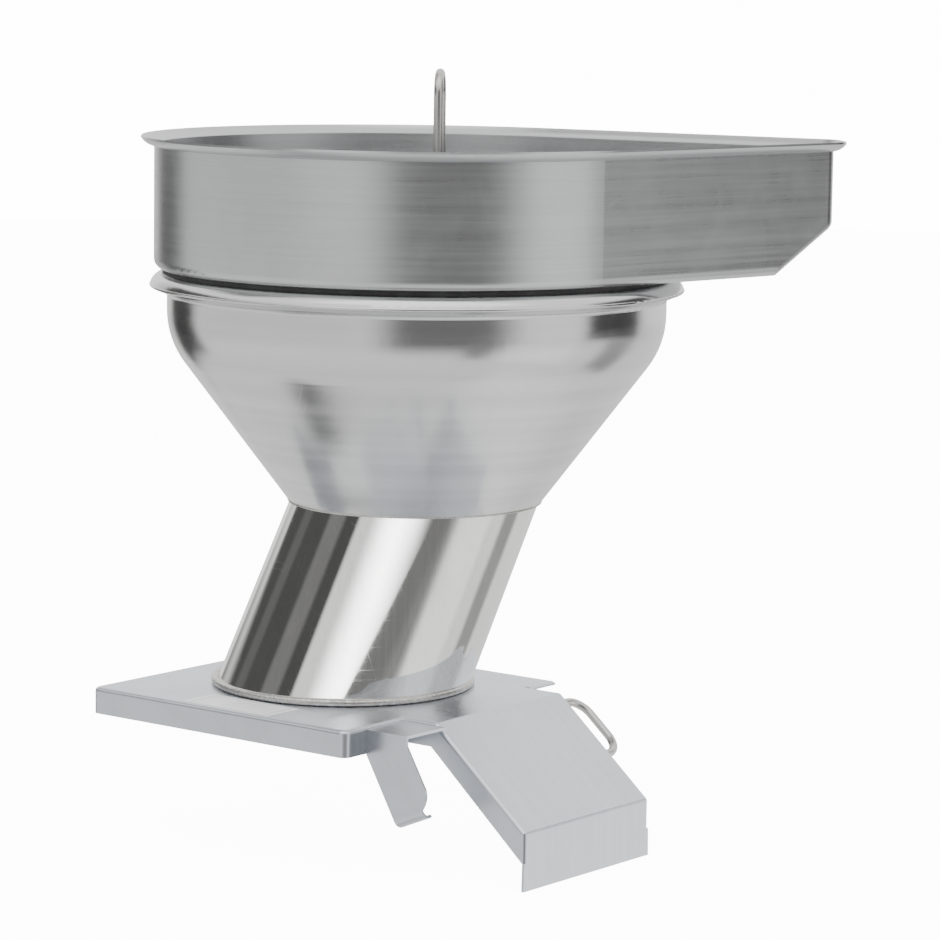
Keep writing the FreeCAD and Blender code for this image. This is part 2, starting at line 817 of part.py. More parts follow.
def lifting_bow():
    """Round bar bowed out from the hood's far cheek, along the slope."""
    body = new_body("lifting_bow")
    fall = hypotenuse(d.hood_run, d.hood_drop)
    down, along = d.hood_drop / fall, d.hood_run / fall
    slope_angle = arc_tangent(d.hood_drop, d.hood_run)
    path = new_sketch(body, "path", "XY_Plane", lift=-d.bow_depth * along, tilt=slope_angle)
    bind(path, AttachmentOffset__Base__y=fold_line + d.bow_depth * down)
    wall = tongue_right
    bend = d.bow_bend
    draw(path, [
        (wall, -d.bow_near),
        (wall + d.bow_reach - bend, -d.bow_near),
        (wall + d.bow_reach, -d.bow_near - bend, -bend),
        (wall + d.bow_reach, -d.bow_far + bend),
        (wall + d.bow_reach - bend, -d.bow_far, -bend),
        (wall, -d.bow_far),
    ], closed=False)
    section = new_sketch(body, "section", "YZ_Plane", lift=wall)
    draw_circle(section, d.bow_radius,
                fold_line + d.bow_depth * down - d.bow_near * along,
                -d.bow_depth * along - d.bow_near * down)
    sweep(body, section, path)
    return body


def magnet_holder():
    """Plastic block under the plate's corner: a pocket for the magnet and two stepped screw holes."""
    body = new_body("magnet_holder")
    half_long, half_wide = d.holder_length / 2, d.holder_width / 2
    outline = new_sketch(body, "outline", "XY_Plane", lift=-d.gauge)
    draw(outline, rectangle(d.holder_x - half_long, d.holder_y - half_wide,
                            d.holder_x + half_long, d.holder_y + half_wide))
    pad(body, outline, d.holder_height, reverse=True)
    round_edges(body, 3, upright)
    low = -d.gauge - d.holder_height
    drill(body, d.magnet_radius, [(d.holder_x, d.holder_y)], low, d.magnet_thickness)
    drill(body, d.screw_radius + d.screw_play, screw_places, low, d.holder_height)
    drill(body, d.boss_radius + d.screw_play, screw_places, -d.gauge - d.boss_height,
          d.boss_height)
    return body


def interlock_magnet():
    """Disc magnet that tells the machine's safety switch that the head is closed."""
    body = new_body("interlock_magnet")
    outline = new_sketch(body, "outline", "XY_Plane", lift=-d.gauge - d.holder_height)
    draw_circle(outline, d.magnet_radius, d.holder_x, d.holder_y)
    pad(body, outline, d.magnet_thickness)
    return body


def group_at(places, label, build):
    """A group of alike solids, one made by build(name, place) at each place."""
    group = doc.addObject("Part::Compound", label)
    group.Label = label
    group.Links = [build(f"{label}_{n}", at) for n, at in enumerate(places, start=1)]
    return group


def magnet_boss(name, at):
    """Threaded boss welded under the plate."""
    body = new_body(name)
    outline = new_sketch(body, "outline", "XY_Plane", lift=-d.gauge - d.boss_height)
    draw_circle(outline, d.boss_radius, *at)
    pad(body, outline, d.boss_height)
    drill(body, d.screw_radius, [at], -d.gauge - d.boss_height, d.boss_height - 1)
    return body


def magnet_screw(name, at):
    """Cap screw with a hexagon socket, driven in from below."""
    body = new_body(name)
    head_low = -d.gauge - d.holder_height - d.screw_head
    head = new_sketch(body, "head", "XY_Plane", lift=head_low)
    draw_circle(head, d.screw_head_radius, *at)
    pad(body, head, d.screw_head)
    shank = new_sketch(body, "shank", "XY_Plane", lift=head_low + d.screw_head)
    draw_circle(shank, d.screw_radius, *at)
    pad(body, shank, d.screw_length)
    recess = new_sketch(body, "socket", "XY_Plane", lift=head_low)
    draw(recess, hexagon(d.screw_socket, *at))
    pocket(body, recess, d.screw_socket_depth, reverse=True)
    return body


def hinge_lug(name, at):
    """Upright lug with a round eye, welded under the plate's back edge."""
    body = new_body(name)
    eye = d.lug_eye
    half = d.lug_width / 2
    side = new_sketch(body, "side", "YZ_Plane", lift=at)
    draw(side, [
        (d.lug_y + half, -d.gauge),
        (d.lug_y - half, -d.gauge),
        (d.lug_y - half, -d.lug_drop),
        (d.lug_y, -d.lug_drop - half, half),
        (d.lug_y + half, -d.lug_drop, half),
    ])
    pad(body, side, d.lug_thickness)
    hole = new_sketch(body, "eye", "YZ_Plane", lift=at)
    draw_circle(hole, eye, d.lug_y, -d.lug_drop)
    pocket(body, hole, d.lug_thickness, reverse=True)
    return body


def hinge_bush(name, at):
    """Flanged plastic bush pressed into a lug's eye."""
    body = new_body(name)
    for label, radius, start, length in (
        ("sleeve", d.lug_eye, at, d.lug_thickness),
        ("flange", d.bush_flange, at + d.lug_thickness, d.bush_lip),
    ):
        disc = new_sketch(body, label, "YZ_Plane", lift=start)
        draw_circle(disc, radius, d.lug_y, -d.lug_drop)
        pad(body, disc, length)
    bore = new_sketch(body, "bore", "YZ_Plane", lift=at)
    draw_circle(bore, d.bush_bore, d.lug_y, -d.lug_drop)
    pocket(body, bore, d.lug_thickness + d.bush_lip, reverse=True)
    return body


def rating_label():
    """Blank foil label on the plate."""
    body = new_body("rating_label")
    outline = new_sketch(body, "outline", "XY_Plane")
    draw(outline, rectangle(d.label_left, d.label_low, d.label_right, d.label_high))
    pad(body, outline, d.label_thickness)
    return body


pieces = [
    cover_plate(),
    outlet_hood(),
    feed_tube(),
    tube_base_ring(),
    hopper_bowl(),
    rim_seal(),
    locating_ring(),
    seat_gasket(),
    magnet_holder(),
    interlock_magnet(),
    group_at(screw_places, "magnet_bosses", magnet_boss),
    group_at(screw_places, "magnet_screws", magnet_screw),
    group_at(lug_places, "hinge_lugs", hinge_lug),
    group_at(lug_places, "hinge_bushes", hinge_bush),
    rating_label(),
    latch_tab(),
    lifting_bow(),
    loading_tray(),
    tray_spigot(),
    agitator_hub(),
    hub_set_screw(),
    agitator_loop(),
]

doc.recompute()
failed = [item.Label for item in doc.Objects if {"Invalid", "Error"} & set(item.State)]
if failed:
    raise RuntimeError(f"these objects failed: {failed}")
os.makedirs("parts", exist_ok=True)
for piece in pieces:
    shape = piece.Shape
    print(piece.Label, shape.isValid(), len(shape.Solids), round(shape.Volume), shape.BoundBox)
    if shape.isNull() or not shape.isValid():
        raise RuntimeError(f"{piece.Label} has no valid shape")
    shape.exportStep(f"parts/{piece.Label}.step")
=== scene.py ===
"""Looks of a stainless steel feed hopper head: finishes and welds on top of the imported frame."""

import math

import bmesh
import bpy
from bpy.props import FloatProperty, FloatVectorProperty, IntProperty, PointerProperty
from mathutils import Matrix, Vector


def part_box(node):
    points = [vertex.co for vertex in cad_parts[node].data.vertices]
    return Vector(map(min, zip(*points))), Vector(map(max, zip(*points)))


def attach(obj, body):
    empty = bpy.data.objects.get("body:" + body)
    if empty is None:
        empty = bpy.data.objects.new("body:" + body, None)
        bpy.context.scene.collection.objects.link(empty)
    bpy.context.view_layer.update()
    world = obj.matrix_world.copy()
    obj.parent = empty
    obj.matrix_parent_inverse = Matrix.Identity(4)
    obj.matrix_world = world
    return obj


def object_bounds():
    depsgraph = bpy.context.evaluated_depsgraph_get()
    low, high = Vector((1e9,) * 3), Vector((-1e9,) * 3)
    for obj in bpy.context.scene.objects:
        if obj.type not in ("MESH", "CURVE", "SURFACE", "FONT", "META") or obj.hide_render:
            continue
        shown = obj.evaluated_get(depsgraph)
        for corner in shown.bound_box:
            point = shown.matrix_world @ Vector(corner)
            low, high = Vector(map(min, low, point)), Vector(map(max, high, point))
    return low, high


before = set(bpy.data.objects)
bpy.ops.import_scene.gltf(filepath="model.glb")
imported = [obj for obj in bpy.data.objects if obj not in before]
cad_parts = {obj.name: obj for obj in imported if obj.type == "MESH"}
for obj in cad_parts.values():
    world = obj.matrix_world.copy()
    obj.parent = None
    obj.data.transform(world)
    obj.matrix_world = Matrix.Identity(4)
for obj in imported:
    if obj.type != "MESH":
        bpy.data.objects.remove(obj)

bl_info = {
    "name": "Feed Hopper Head",
    "version": (1, 0, 0),
    "blender": (4, 5, 0),
    "location": "View3D > Sidebar > Hopper",
    "description": "Dresses a stainless steel feed hopper head with finishes and welds",
    "category": "Add Mesh",
}

CAD_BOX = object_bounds()
MILLIMETRE = 0.001
DIAGONAL = 0.7071


def middle(node):
    """Centre of a CAD node's box."""
    low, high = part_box(node)
    return (low + high) / 2


BOWL_AXIS = middle("hopper_bowl")
BOWL_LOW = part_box("hopper_bowl")[0].z
HUB_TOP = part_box("agitator_hub")[1].z

# Sizes of the pieces that the welds follow, in metres; the arm's heading is in degrees
NECK_RADIUS = 0.0882
BOW_BAR = 0.003
LEG_BAR = 0.00325
LEG_HALF_GAP = 0.015
ARM_HEADING = -55.4
LUG_SHEET = 0.003
SHEET = 0.002
RING_BORE = 0.089
TACKS = 12
TACK_TURN = 0.14
TACK_SCALE = 0.8
TAB_FILLETS = ((0.002, 0.010), (0.014, 0.021), (0.024, 0.032))
LUG_FILLET_INSET = 0.001

# Ripple of a bead: how much it swells, and how it closes at an open end
RIPPLE_SWELL = 0.10
CLOSED_END = 0.2
END_RINGS = 8

# Stage: glows are seen by the camera alone; bearings in degrees from the camera's side
FLOOR_RADIUS = 6.0
FLOOR_GAP = 0.0005
FLOOR_GLOW = 13.0
BACKDROP_GLOW = 16.0
CARD_DISTANCE = 1.5
CARD_HEIGHT = 0.6
CARD_FROM = -20.0
CARD_TO = 6.0
CARD_BLUR = 32.0
CARD_GLOW = 24.0
CARD_BEARINGS = range(-60, 46, 5)
SIDE_POWER = 7.0
SIDE_SIZE = 1.5
SIDE_BEARING = 104.0
SIDE_DISTANCE = 1.5
SIDE_HEIGHT = -0.25
OVERHEAD_SIZE = 1.8
OVERHEAD_PLACE = (-0.5, -0.4, 2.0)
SKY_TINT = (1.0, 0.995, 0.985)

# The sky, in degrees from the camera's side: bearing from and to, elevation from and to, blur, level
SKY_LEVEL = 1.15
SKY_PANELS = (
    (-200.0, 200.0, 24.0, 100.0, 16.0, 1.50),
    (-60.0, 60.0, 46.0, 100.0, 20.0, 2.30),
    (-142.0, -95.0, 40.0, 64.0, 12.0, 0.35),
    (125.0, 200.0, -4.0, 60.0, 14.0, 1.60),
    (-200.0, -152.0, -4.0, 60.0, 10.0, 1.60),
    (-116.0, -28.0, -18.0, 4.0, 14.0, 1.05),
    (-138.0, -49.0, 5.0, 24.0, 5.0, 0.09),
    (-82.0, -64.0, 5.0, 24.0, 6.0, 0.22),
    (-118.0, -106.0, 5.0, 24.0, 6.0, 0.15),
    (-152.0, -122.0, -24.0, 2.0, 9.0, 0.07),
    (-14.0, 44.0, -26.0, 26.0, 22.0, 0.22),
    (50.0, 82.0, -16.0, 26.0, 8.0, 1.30),
    (44.0, 82.0, -38.0, -18.0, 8.0, 1.50),
    (24.0, 36.0, -36.0, -15.0, 5.0, 0.32),
    (85.0, 124.0, -14.0, 28.0, 7.0, 0.07),
    (101.0, 122.0, -38.0, -15.0, 8.0, 0.40),
    (-114.0, -92.0, -76.0, -56.0, 9.0, 0.20),
    (50.0, 140.0, -82.0, -48.0, 24.0, 1.45),
)


# ---------------------------------------------------------------------------------------------
# Settings


def colour_property(name, description, default):
    return FloatVectorProperty(
        name=name, description=description, default=default,
        size=3, min=0.0, max=1.0, subtype="COLOR",
    )


def length_property(name, description, default, most=0.1):
    return FloatProperty(
        name=name, description=description, default=default,
        min=0.0, max=most, precision=4, subtype="DISTANCE", unit="LENGTH",
    )


def factor_property(name, description, default, most=1.0):
    return FloatProperty(
        name=name, description=description, default=default, min=0.0, max=most, subtype="FACTOR",
    )


class HopperColours(bpy.types.PropertyGroup):
    """Base colours of the finishes"""

    satin: colour_property("Satin steel", "Brushed sheet of the loading tray", (0.56, 0.57, 0.58))
    spun: colour_property("Spun steel", "Semi-bright spun sheet of the bowl", (0.65, 0.66, 0.66))
    polished: colour_property("Polished steel", "Mirror-polished feed tube", (0.86, 0.86, 0.85))
    sheet: colour_property("Ground sheet", "Matt sheet of plate and hood", (0.66, 0.69, 0.74))
    bar: colour_property("Drawn bar", "Round bar of agitator and bow", (0.54, 0.53, 0.52))
    weld: colour_property("Weld", "Brushed weld metal", (0.62, 0.62, 0.61))
    tint: colour_property("Heat tint", "Straw tint beside a weld", (0.50, 0.44, 0.36))
    rubber: colour_property("Rubber", "Seal and gasket", (0.018, 0.018, 0.019))
    plastic: colour_property("Black plastic", "Magnet holder", (0.022, 0.022, 0.024))
    acetal: colour_property("Natural acetal", "Hinge bushes", (0.78, 0.76, 0.70))
    nickel: colour_property("Nickel", "Plated magnet", (0.66, 0.64, 0.60))
    foil: colour_property("Foil", "Blank rating label", (0.92, 0.93, 0.94))
    floor: colour_property("Floor", "Plain studio floor", (0.93, 0.93, 0.93))


class HopperFinish(bpy.types.PropertyGroup):
    """Roughness and depth of the finishes"""

    satin_roughness: factor_property("Satin roughness", "Roughness of the brushed tray", 0.30)
    satin_stretch: factor_property("Satin stretch", "How far the grain smears a reflection", 0.4)
    spun_roughness: factor_property("Spun roughness", "Roughness of the spun bowl", 0.17)
    polished_roughness: factor_property("Polish roughness", "Roughness of the feed tube", 0.045)
    sheet_roughness: factor_property("Sheet roughness", "Roughness of plate and hood", 0.30)
    bar_roughness: factor_property("Bar roughness", "Roughness of the drawn bars", 0.22)
    # Edge lightening: rubbed wear together with a painted highlight along the folded edges
    wear_and_highlight: factor_property("Edge wear", "How much brighter folded edges are", 0.35)
    smudge: factor_property("Smudges", "How much handling marks dull the steel", 0.10)


class HopperWelds(bpy.types.PropertyGroup):
    """Sizes of the weld beads"""

    neck_bead: length_property("Neck bead", "Radius of the bead between bowl and tube", 0.0009)
    bar_bead: length_property("Bar bead", "Radius of the collar beads on the bars", 0.0011)
    lug_bead: length_property("Lug bead", "Radius of the fillets on lugs and tab", 0.0012)
    ripple: length_property("Ripple pitch", "Distance between weld ripples", 0.0017)
    ring_steps: IntProperty(name="Bead sides", description="Sides of a bead's section",
                            default=10, min=6, max=32)


class HopperStudio(bpy.types.PropertyGroup):
    """Camera and light"""

    azimuth: FloatProperty(name="Camera azimuth", description="Where the camera stands",
                           default=math.radians(-50.0), subtype="ANGLE", unit="ROTATION")
    distance: length_property("Camera distance", "From the drive axis", 2.627, most=20.0)
    height: length_property("Camera height", "Above the plate", 0.511, most=5.0)
    yaw: FloatProperty(name="Yaw", description="Aim beside the drive axis",
                       default=math.radians(-1.9), subtype="ANGLE", unit="ROTATION")
    pitch: FloatProperty(name="Pitch", description="Aim below the horizon",
                         default=math.radians(7.8), subtype="ANGLE", unit="ROTATION")
    roll: FloatProperty(name="Roll", description="Turn about the line of sight",
                        default=math.radians(0.8), subtype="ANGLE", unit="ROTATION")
    lens: FloatProperty(name="Focal length", description="Focal length on a 36 mm sensor",
                        default=145.5, min=20.0, max=400.0, unit="CAMERA")
    key_power: FloatProperty(name="Overhead light", description="Power of the soft light",
                             default=26.0, min=0.0, max=500.0, unit="POWER")


# ---------------------------------------------------------------------------------------------
# Node helpers


def add(tree, kind, **settings):
    """Adds a shader node and sets its own properties."""
    made = tree.nodes.new("ShaderNode" + kind)
    for name, value in settings.items():
        setattr(made, name, value)
    return made


def feed(tree, socket, value):
    """Links an output socket to an input, or sets the input to a plain value."""
    if isinstance(value, bpy.types.NodeSocket):
        tree.links.new(value, socket)
    else:
        socket.default_value = value


def calc(tree, operation, *values, clamp=False):
    made = add(tree, "Math", operation=operation, use_clamp=clamp)
    for socket, value in zip(made.inputs, values):
        feed(tree, socket, value)
    return made.outputs[0]


def vector_calc(tree, operation, *values):
    made = add(tree, "VectorMath", operation=operation)
    for socket, value in zip(made.inputs, values):
        feed(tree, socket, value)
    return made.outputs["Value" if operation in {"LENGTH", "DOT_PRODUCT"} else "Vector"]


def remap(tree, value, low, high, to_low=0.0, to_high=1.0):
    """Smoothly maps low..high to to_low..to_high."""
    made = add(tree, "MapRange", interpolation_type="SMOOTHSTEP")
    for name, number in (("Value", value), ("From Min", low), ("From Max", high),
                         ("To Min", to_low), ("To Max", to_high)):
        feed(tree, made.inputs[name], number)
    return made.outputs["Result"]


def noise(tree, vector, scale, detail=3.0, roughness=0.5, distortion=0.0):
    made = add(tree, "TexNoise")
    for name, value in (("Vector", vector), ("Scale", scale), ("Detail", detail),
                        ("Roughness", roughness), ("Distortion", distortion)):
        feed(tree, made.inputs[name], value)
    return made.outputs["Fac"]


def mix_colour(tree, factor, first, second, blend="MIX"):
    made = add(tree, "Mix", data_type="RGBA", blend_type=blend)
    feed(tree, made.inputs[0], factor)
    feed(tree, made.inputs[6], first)
    feed(tree, made.inputs[7], second)
    return made.outputs[2]


def rgba(colour, gain=1.0):
    return tuple(min(channel * gain, 1.0) for channel in colour) + (1.0,)


def new_group(name, inputs, outputs):
    """An empty shader node group: inputs are (name, kind, default), outputs are (name, kind)."""
    tree = bpy.data.node_groups.new(name, "ShaderNodeTree")
    for label, kind, default in inputs:
        socket = tree.interface.new_socket(label, in_out="INPUT", socket_type="NodeSocket" + kind)
        if default is not None:
            socket.default_value = default
    for label, kind in outputs:
        tree.interface.new_socket(label, in_out="OUTPUT", socket_type="NodeSocket" + kind)
    return tree, tree.nodes.new("NodeGroupInput").outputs, tree.nodes.new("NodeGroupOutput").inputs


def place_group(tree, name, **values):
    """Places a node group in a material. Names use _ where the socket's has a space."""
    made = add(tree, "Group", node_tree=bpy.data.node_groups[name])
    for label, value in values.items():
        feed(tree, made.inputs[label.replace("_", " ")], value)
    return made.outputs


# ---------------------------------------------------------------------------------------------
# Shared effects


def make_directional_grain():
    """Fine streaks along the direction in which Stretch is small, with slow shade changes."""
    tree, given, result = new_group(
        "Directional Grain",
        [("Vector", "Vector", None), ("Stretch", "Vector", (1.0, 1.0, 1.0)),
         ("Waver", "Float", 0.2)],
        [("Height", "Float"), ("Shade", "Float")],
    )
    wander = noise(tree, given["Vector"], 9.0, 2.0)
    offset = calc(tree, "MULTIPLY", wander, calc(tree, "MULTIPLY", given["Waver"], MILLIMETRE))
    moved = vector_calc(tree, "ADD", given["Vector"], offset)
    stretched = vector_calc(tree, "MULTIPLY", moved, given["Stretch"])
    fine = noise(tree, stretched, 1.0, 5.0, 0.62)
    broad = noise(tree, stretched, 0.11, 3.0, 0.55)
    feed(tree, result["Height"], fine)
    shade = calc(tree, "ADD", calc(tree, "MULTIPLY", fine, 0.55), calc(tree, "MULTIPLY", broad, 0.45))
    feed(tree, result["Shade"], remap(tree, shade, 0.3, 0.7))


def make_spun_rings():
    """Turning marks round an upright axis: rings that follow the distance from it and the height."""
    tree, given, result = new_group(
        "Spun Rings",
        [("Vector", "Vector", None), ("Axis", "Vector", (0.0, 0.0, 0.0)), ("Rings", "Float", 900.0)],
        [("Height", "Float"), ("Shade", "Float")],
    )
    away = vector_calc(tree, "SUBTRACT", given["Vector"], given["Axis"])
    parts = add(tree, "SeparateXYZ")
    feed(tree, parts.inputs[0], away)
    flat = vector_calc(tree, "MULTIPLY", away, (1.0, 1.0, 0.0))
    radius = vector_calc(tree, "LENGTH", flat)
    travel = calc(tree, "ADD", calc(tree, "MULTIPLY", radius, 0.8), parts.outputs["Z"])
    line = add(tree, "CombineXYZ")
    feed(tree, line.inputs["X"], calc(tree, "MULTIPLY", travel, given["Rings"]))
    feed(tree, line.inputs["Y"], calc(tree, "MULTIPLY", parts.outputs["X"], 3.0))
    feed(tree, line.inputs["Z"], calc(tree, "MULTIPLY", parts.outputs["Y"], 3.0))
    fine = noise(tree, line.outputs[0], 1.0, 3.0, 0.6)
    broad = noise(tree, line.outputs[0], 0.07, 2.0)
    feed(tree, result["Height"], calc(tree, "ADD", calc(tree, "MULTIPLY", fine, 0.6),
                                      calc(tree, "MULTIPLY", broad, 0.4)))
    feed(tree, result["Shade"], remap(tree, broad, 0.35, 0.65))


def make_handling_marks():
    """Soft blotches left by hands and wiping cloths."""
    tree, given, result = new_group(
        "Handling Marks",
        [("Vector", "Vector", None), ("Blotch Scale", "Float", 18.0), ("Wipe Scale", "Float", 60.0)],
        [("Mask", "Float")],
    )
    blotch = remap(tree, noise(tree, given["Vector"], given["Blotch Scale"], 4.0, 0.6, 0.6), 0.42, 0.68)
    squeezed = vector_calc(tree, "MULTIPLY", given["Vector"], (1.0, 0.35, 0.6))
    wipe = remap(tree, noise(tree, squeezed, given["Wipe Scale"], 2.0, 0.5, 1.2), 0.45, 0.7)
    feed(tree, result["Mask"], calc(tree, "ADD", calc(tree, "MULTIPLY", blotch, 0.7),
                                    calc(tree, "MULTIPLY", wipe, 0.3)))


def make_hairline_scratches():
    """Sparse thin scratches in two directions."""
    tree, given, result = new_group(
        "Hairline Scratches",
        [("Vector", "Vector", None), ("Density", "Float", 1.0)],
        [("Mask", "Float")],
    )
    found = []
    for turn, shift in ((0.5, 0.0), (2.2, 4.0)):
        turned = add(tree, "VectorRotate", rotation_type="AXIS_ANGLE")
        feed(tree, turned.inputs["Vector"], given["Vector"])
        feed(tree, turned.inputs["Axis"], (0.3, 0.5, 0.8))
        feed(tree, turned.inputs["Angle"], turn)
        thin = vector_calc(tree, "MULTIPLY", turned.outputs[0], (1400.0, 14.0, 14.0))
        moved = vector_calc(tree, "ADD", thin, (shift, shift, shift))
        found.append(remap(tree, noise(tree, moved, given["Density"], 1.0), 0.69, 0.75))
    feed(tree, result["Mask"], calc(tree, "MAXIMUM", *found))


def make_ground_seam():
    """A weld ground flush: a narrow upright band on one side of a point."""
    tree, given, result = new_group(
        "Ground Seam",
        [("Vector", "Vector", None), ("Point", "Vector", (0.0, 0.0, 0.0)),
         ("Across", "Vector", (1.0, 0.0, 0.0)), ("Facing", "Vector", (0.0, 1.0, 0.0)),
         ("Width", "Float", 0.0018)],
        [("Mask", "Float"), ("Height", "Float")],
    )
    away = vector_calc(tree, "SUBTRACT", given["Vector"], given["Point"])
    wander = noise(tree, given["Vector"], 60.0, 2.0)
    offset = vector_calc(tree, "DOT_PRODUCT", away, given["Across"])
    aside = calc(tree, "MULTIPLY_ADD", wander, 0.0012, offset)
    inside = calc(tree, "DIVIDE", calc(tree, "ABSOLUTE", aside), given["Width"])
    behind = calc(tree, "GREATER_THAN", vector_calc(tree, "DOT_PRODUCT", away, given["Facing"]), 0.0)
    band = calc(tree, "MULTIPLY", remap(tree, inside, 1.0, 0.6), behind)
    crossing = noise(tree, given["Vector"], 1500.0, 3.0)
    feed(tree, result["Mask"], band)
    feed(tree, result["Height"], calc(tree, "MULTIPLY", band, crossing))


def make_rubbed_edge_and_highlight():
    """Mask of outer edges, from how a slightly rounded normal differs from the face's own; steel
    lightens these edges as rubbed wear and as a painted highlight along the folds.
    """
    tree, given, result = new_group(
        "Rubbed Edge And Fold Highlight",
        [("Vector", "Vector", None), ("Reach", "Float", 0.002)],
        [("Mask", "Float")],
    )
    rounded = add(tree, "Bevel", samples=4)
    feed(tree, rounded.inputs["Radius"], given["Reach"])
    surface = add(tree, "NewGeometry")
    alike = vector_calc(tree, "DOT_PRODUCT", rounded.outputs[0], surface.outputs["Normal"])
    edge = remap(tree, alike, 0.99, 0.80)
    broken = remap(tree, noise(tree, given["Vector"], 90.0, 4.0, 0.6), 0.3, 0.6, 0.45, 1.0)
    feed(tree, result["Mask"], calc(tree, "MULTIPLY", edge, broken))


def make_weld_ripple():
    """Overlapping crescents of a weld that runs round an upright or level axis."""
    tree, given, result = new_group(
        "Weld Ripple",
        [("Vector", "Vector", None), ("Pitch", "Float", 0.0017)],
        [("Height", "Float"), ("Shade", "Float")],
    )
    cells = add(tree, "TexVoronoi", feature="SMOOTH_F1")
    feed(tree, cells.inputs["Vector"], given["Vector"])
    feed(tree, cells.inputs["Scale"], calc(tree, "DIVIDE", 1.0, given["Pitch"]))
    feed(tree, cells.inputs["Smoothness"], 0.6)
    rough = noise(tree, given["Vector"], 900.0, 4.0, 0.6)
    feed(tree, result["Height"], calc(tree, "ADD", cells.outputs["Distance"],
                                      calc(tree, "MULTIPLY", rough, 0.35)))
    feed(tree, result["Shade"], remap(tree, noise(tree, given["Vector"], 160.0, 3.0), 0.35, 0.65))


def make_moulded_grain():
    """Fine spark-eroded grain with a dusty bloom, for rubber and plastic."""
    tree, given, result = new_group(
        "Moulded Grain",
        [("Vector", "Vector", None), ("Grain Scale", "Float", 2600.0)],
        [("Height", "Float"), ("Bloom", "Float")],
    )
    fine = noise(tree, given["Vector"], given["Grain Scale"], 2.0, 0.7)
    feed(tree, result["Height"], fine)
    feed(tree, result["Bloom"], remap(tree, noise(tree, given["Vector"], 55.0, 4.0, 0.6), 0.4, 0.75))


def make_soft_panel():
    """A soft-edged light panel on the sky, between two bearings and two elevations."""
    tree, given, result = new_group(
        "Soft Panel",
        [("Bearing", "Float", 0.0), ("Elevation", "Float", 0.0), ("From", "Float", 0.0),
         ("To", "Float", 1.0), ("Low", "Float", -90.0), ("High", "Float", 90.0),
         ("Blur", "Float", 8.0)],
        [("Mask", "Float")],
    )
    half = calc(tree, "MULTIPLY", given["Blur"], 0.5)
    sides = []
    for value, low, high in (("Bearing", "From", "To"), ("Elevation", "Low", "High")):
        rise = remap(tree, given[value], calc(tree, "SUBTRACT", given[low], half),
                     calc(tree, "ADD", given[low], half))
        fall = remap(tree, given[value], calc(tree, "SUBTRACT", given[high], half),
                     calc(tree, "ADD", given[high], half))
        sides.append(calc(tree, "MULTIPLY", rise, calc(tree, "SUBTRACT", 1.0, fall)))
    feed(tree, result["Mask"], calc(tree, "MULTIPLY", *sides))


GROUPS = {
    "Directional Grain": make_directional_grain,
    "Spun Rings": make_spun_rings,
    "Handling Marks": make_handling_marks,
    "Hairline Scratches": make_hairline_scratches,
    "Ground Seam": make_ground_seam,
    "Rubbed Edge And Fold Highlight": make_rubbed_edge_and_highlight,
    "Weld Ripple": make_weld_ripple,
    "Moulded Grain": make_moulded_grain,
    "Soft Panel": make_soft_panel,
}


def need(*names):
    """Builds the named node groups that don't exist yet."""
    for name in names:
        if name not in bpy.data.node_groups:
            GROUPS[name]()


# ---------------------------------------------------------------------------------------------
# Materials


def start_material(name):
    """A new material, its tree, its Principled shader and the row-frame coordinates."""
    material = bpy.data.materials.new(name)
    material.use_nodes = True
    tree = material.node_tree
    return material, tree, tree.nodes["Principled BSDF"], add(tree, "TexCoord").outputs["Object"]


def bump(tree, shader, height, strength, depth):
    made = add(tree, "Bump")
    feed(tree, made.inputs["Height"], height)
    feed(tree, made.inputs["Strength"], strength)
    feed(tree, made.inputs["Distance"], depth)
    feed(tree, shader.inputs["Normal"], made.outputs["Normal"])


def steel(name, colour, roughness, grain, depth, scratches=0.5, seam=None):
    """Stainless steel under marks, hairlines and rubbed edges that also carry a painted highlight. Grain
    is (group, its values).
    """
    need("Handling Marks", "Hairline Scratches", "Rubbed Edge And Fold Highlight", "Ground Seam", grain[0])
    look = bpy.context.scene.hopper_finish
    material, tree, shader, place = start_material(name)
    streaks = place_group(tree, grain[0], Vector=place, **grain[1])
    marks = place_group(tree, "Handling Marks", Vector=place)["Mask"]
    hairs = place_group(tree, "Hairline Scratches", Vector=place)["Mask"]
    edge = place_group(tree, "Rubbed Edge And Fold Highlight", Vector=place)["Mask"]
    smudge = calc(tree, "MULTIPLY", marks, look.smudge)
    base = mix_colour(tree, streaks["Shade"], rgba(colour, 0.93), rgba(colour, 1.06))
    base = mix_colour(tree, smudge, base, rgba(colour, 0.72))
    base = mix_colour(tree, calc(tree, "MULTIPLY", hairs, scratches * 0.4), base, rgba(colour, 1.22))
    # Outer edges and folds lightened: partly rubbed wear, partly a painted highlight
    base = mix_colour(tree, calc(tree, "MULTIPLY", edge, look.wear_and_highlight), base, rgba(colour, 1.30))
    rough = calc(tree, "MULTIPLY_ADD", streaks["Shade"], roughness * 0.25, roughness * 0.87)
    rough = calc(tree, "MULTIPLY_ADD", marks, look.smudge * 0.5, rough)
    rough = calc(tree, "MULTIPLY_ADD", hairs, scratches * 0.12, rough)
    height = streaks["Height"]
    if seam:
        line = place_group(tree, "Ground Seam", Vector=place, **seam)
        base = mix_colour(tree, calc(tree, "MULTIPLY", line["Mask"], 0.35), base, rgba(colour, 0.78))
        rough = calc(tree, "MULTIPLY_ADD", line["Mask"], 0.10, rough)
        height = calc(tree, "ADD", height, line["Height"])
    feed(tree, shader.inputs["Base Color"], base)
    feed(tree, shader.inputs["Roughness"], rough)
    feed(tree, shader.inputs["Metallic"], 1.0)
    bump(tree, shader, height, 0.35, depth)
    return material, tree, shader


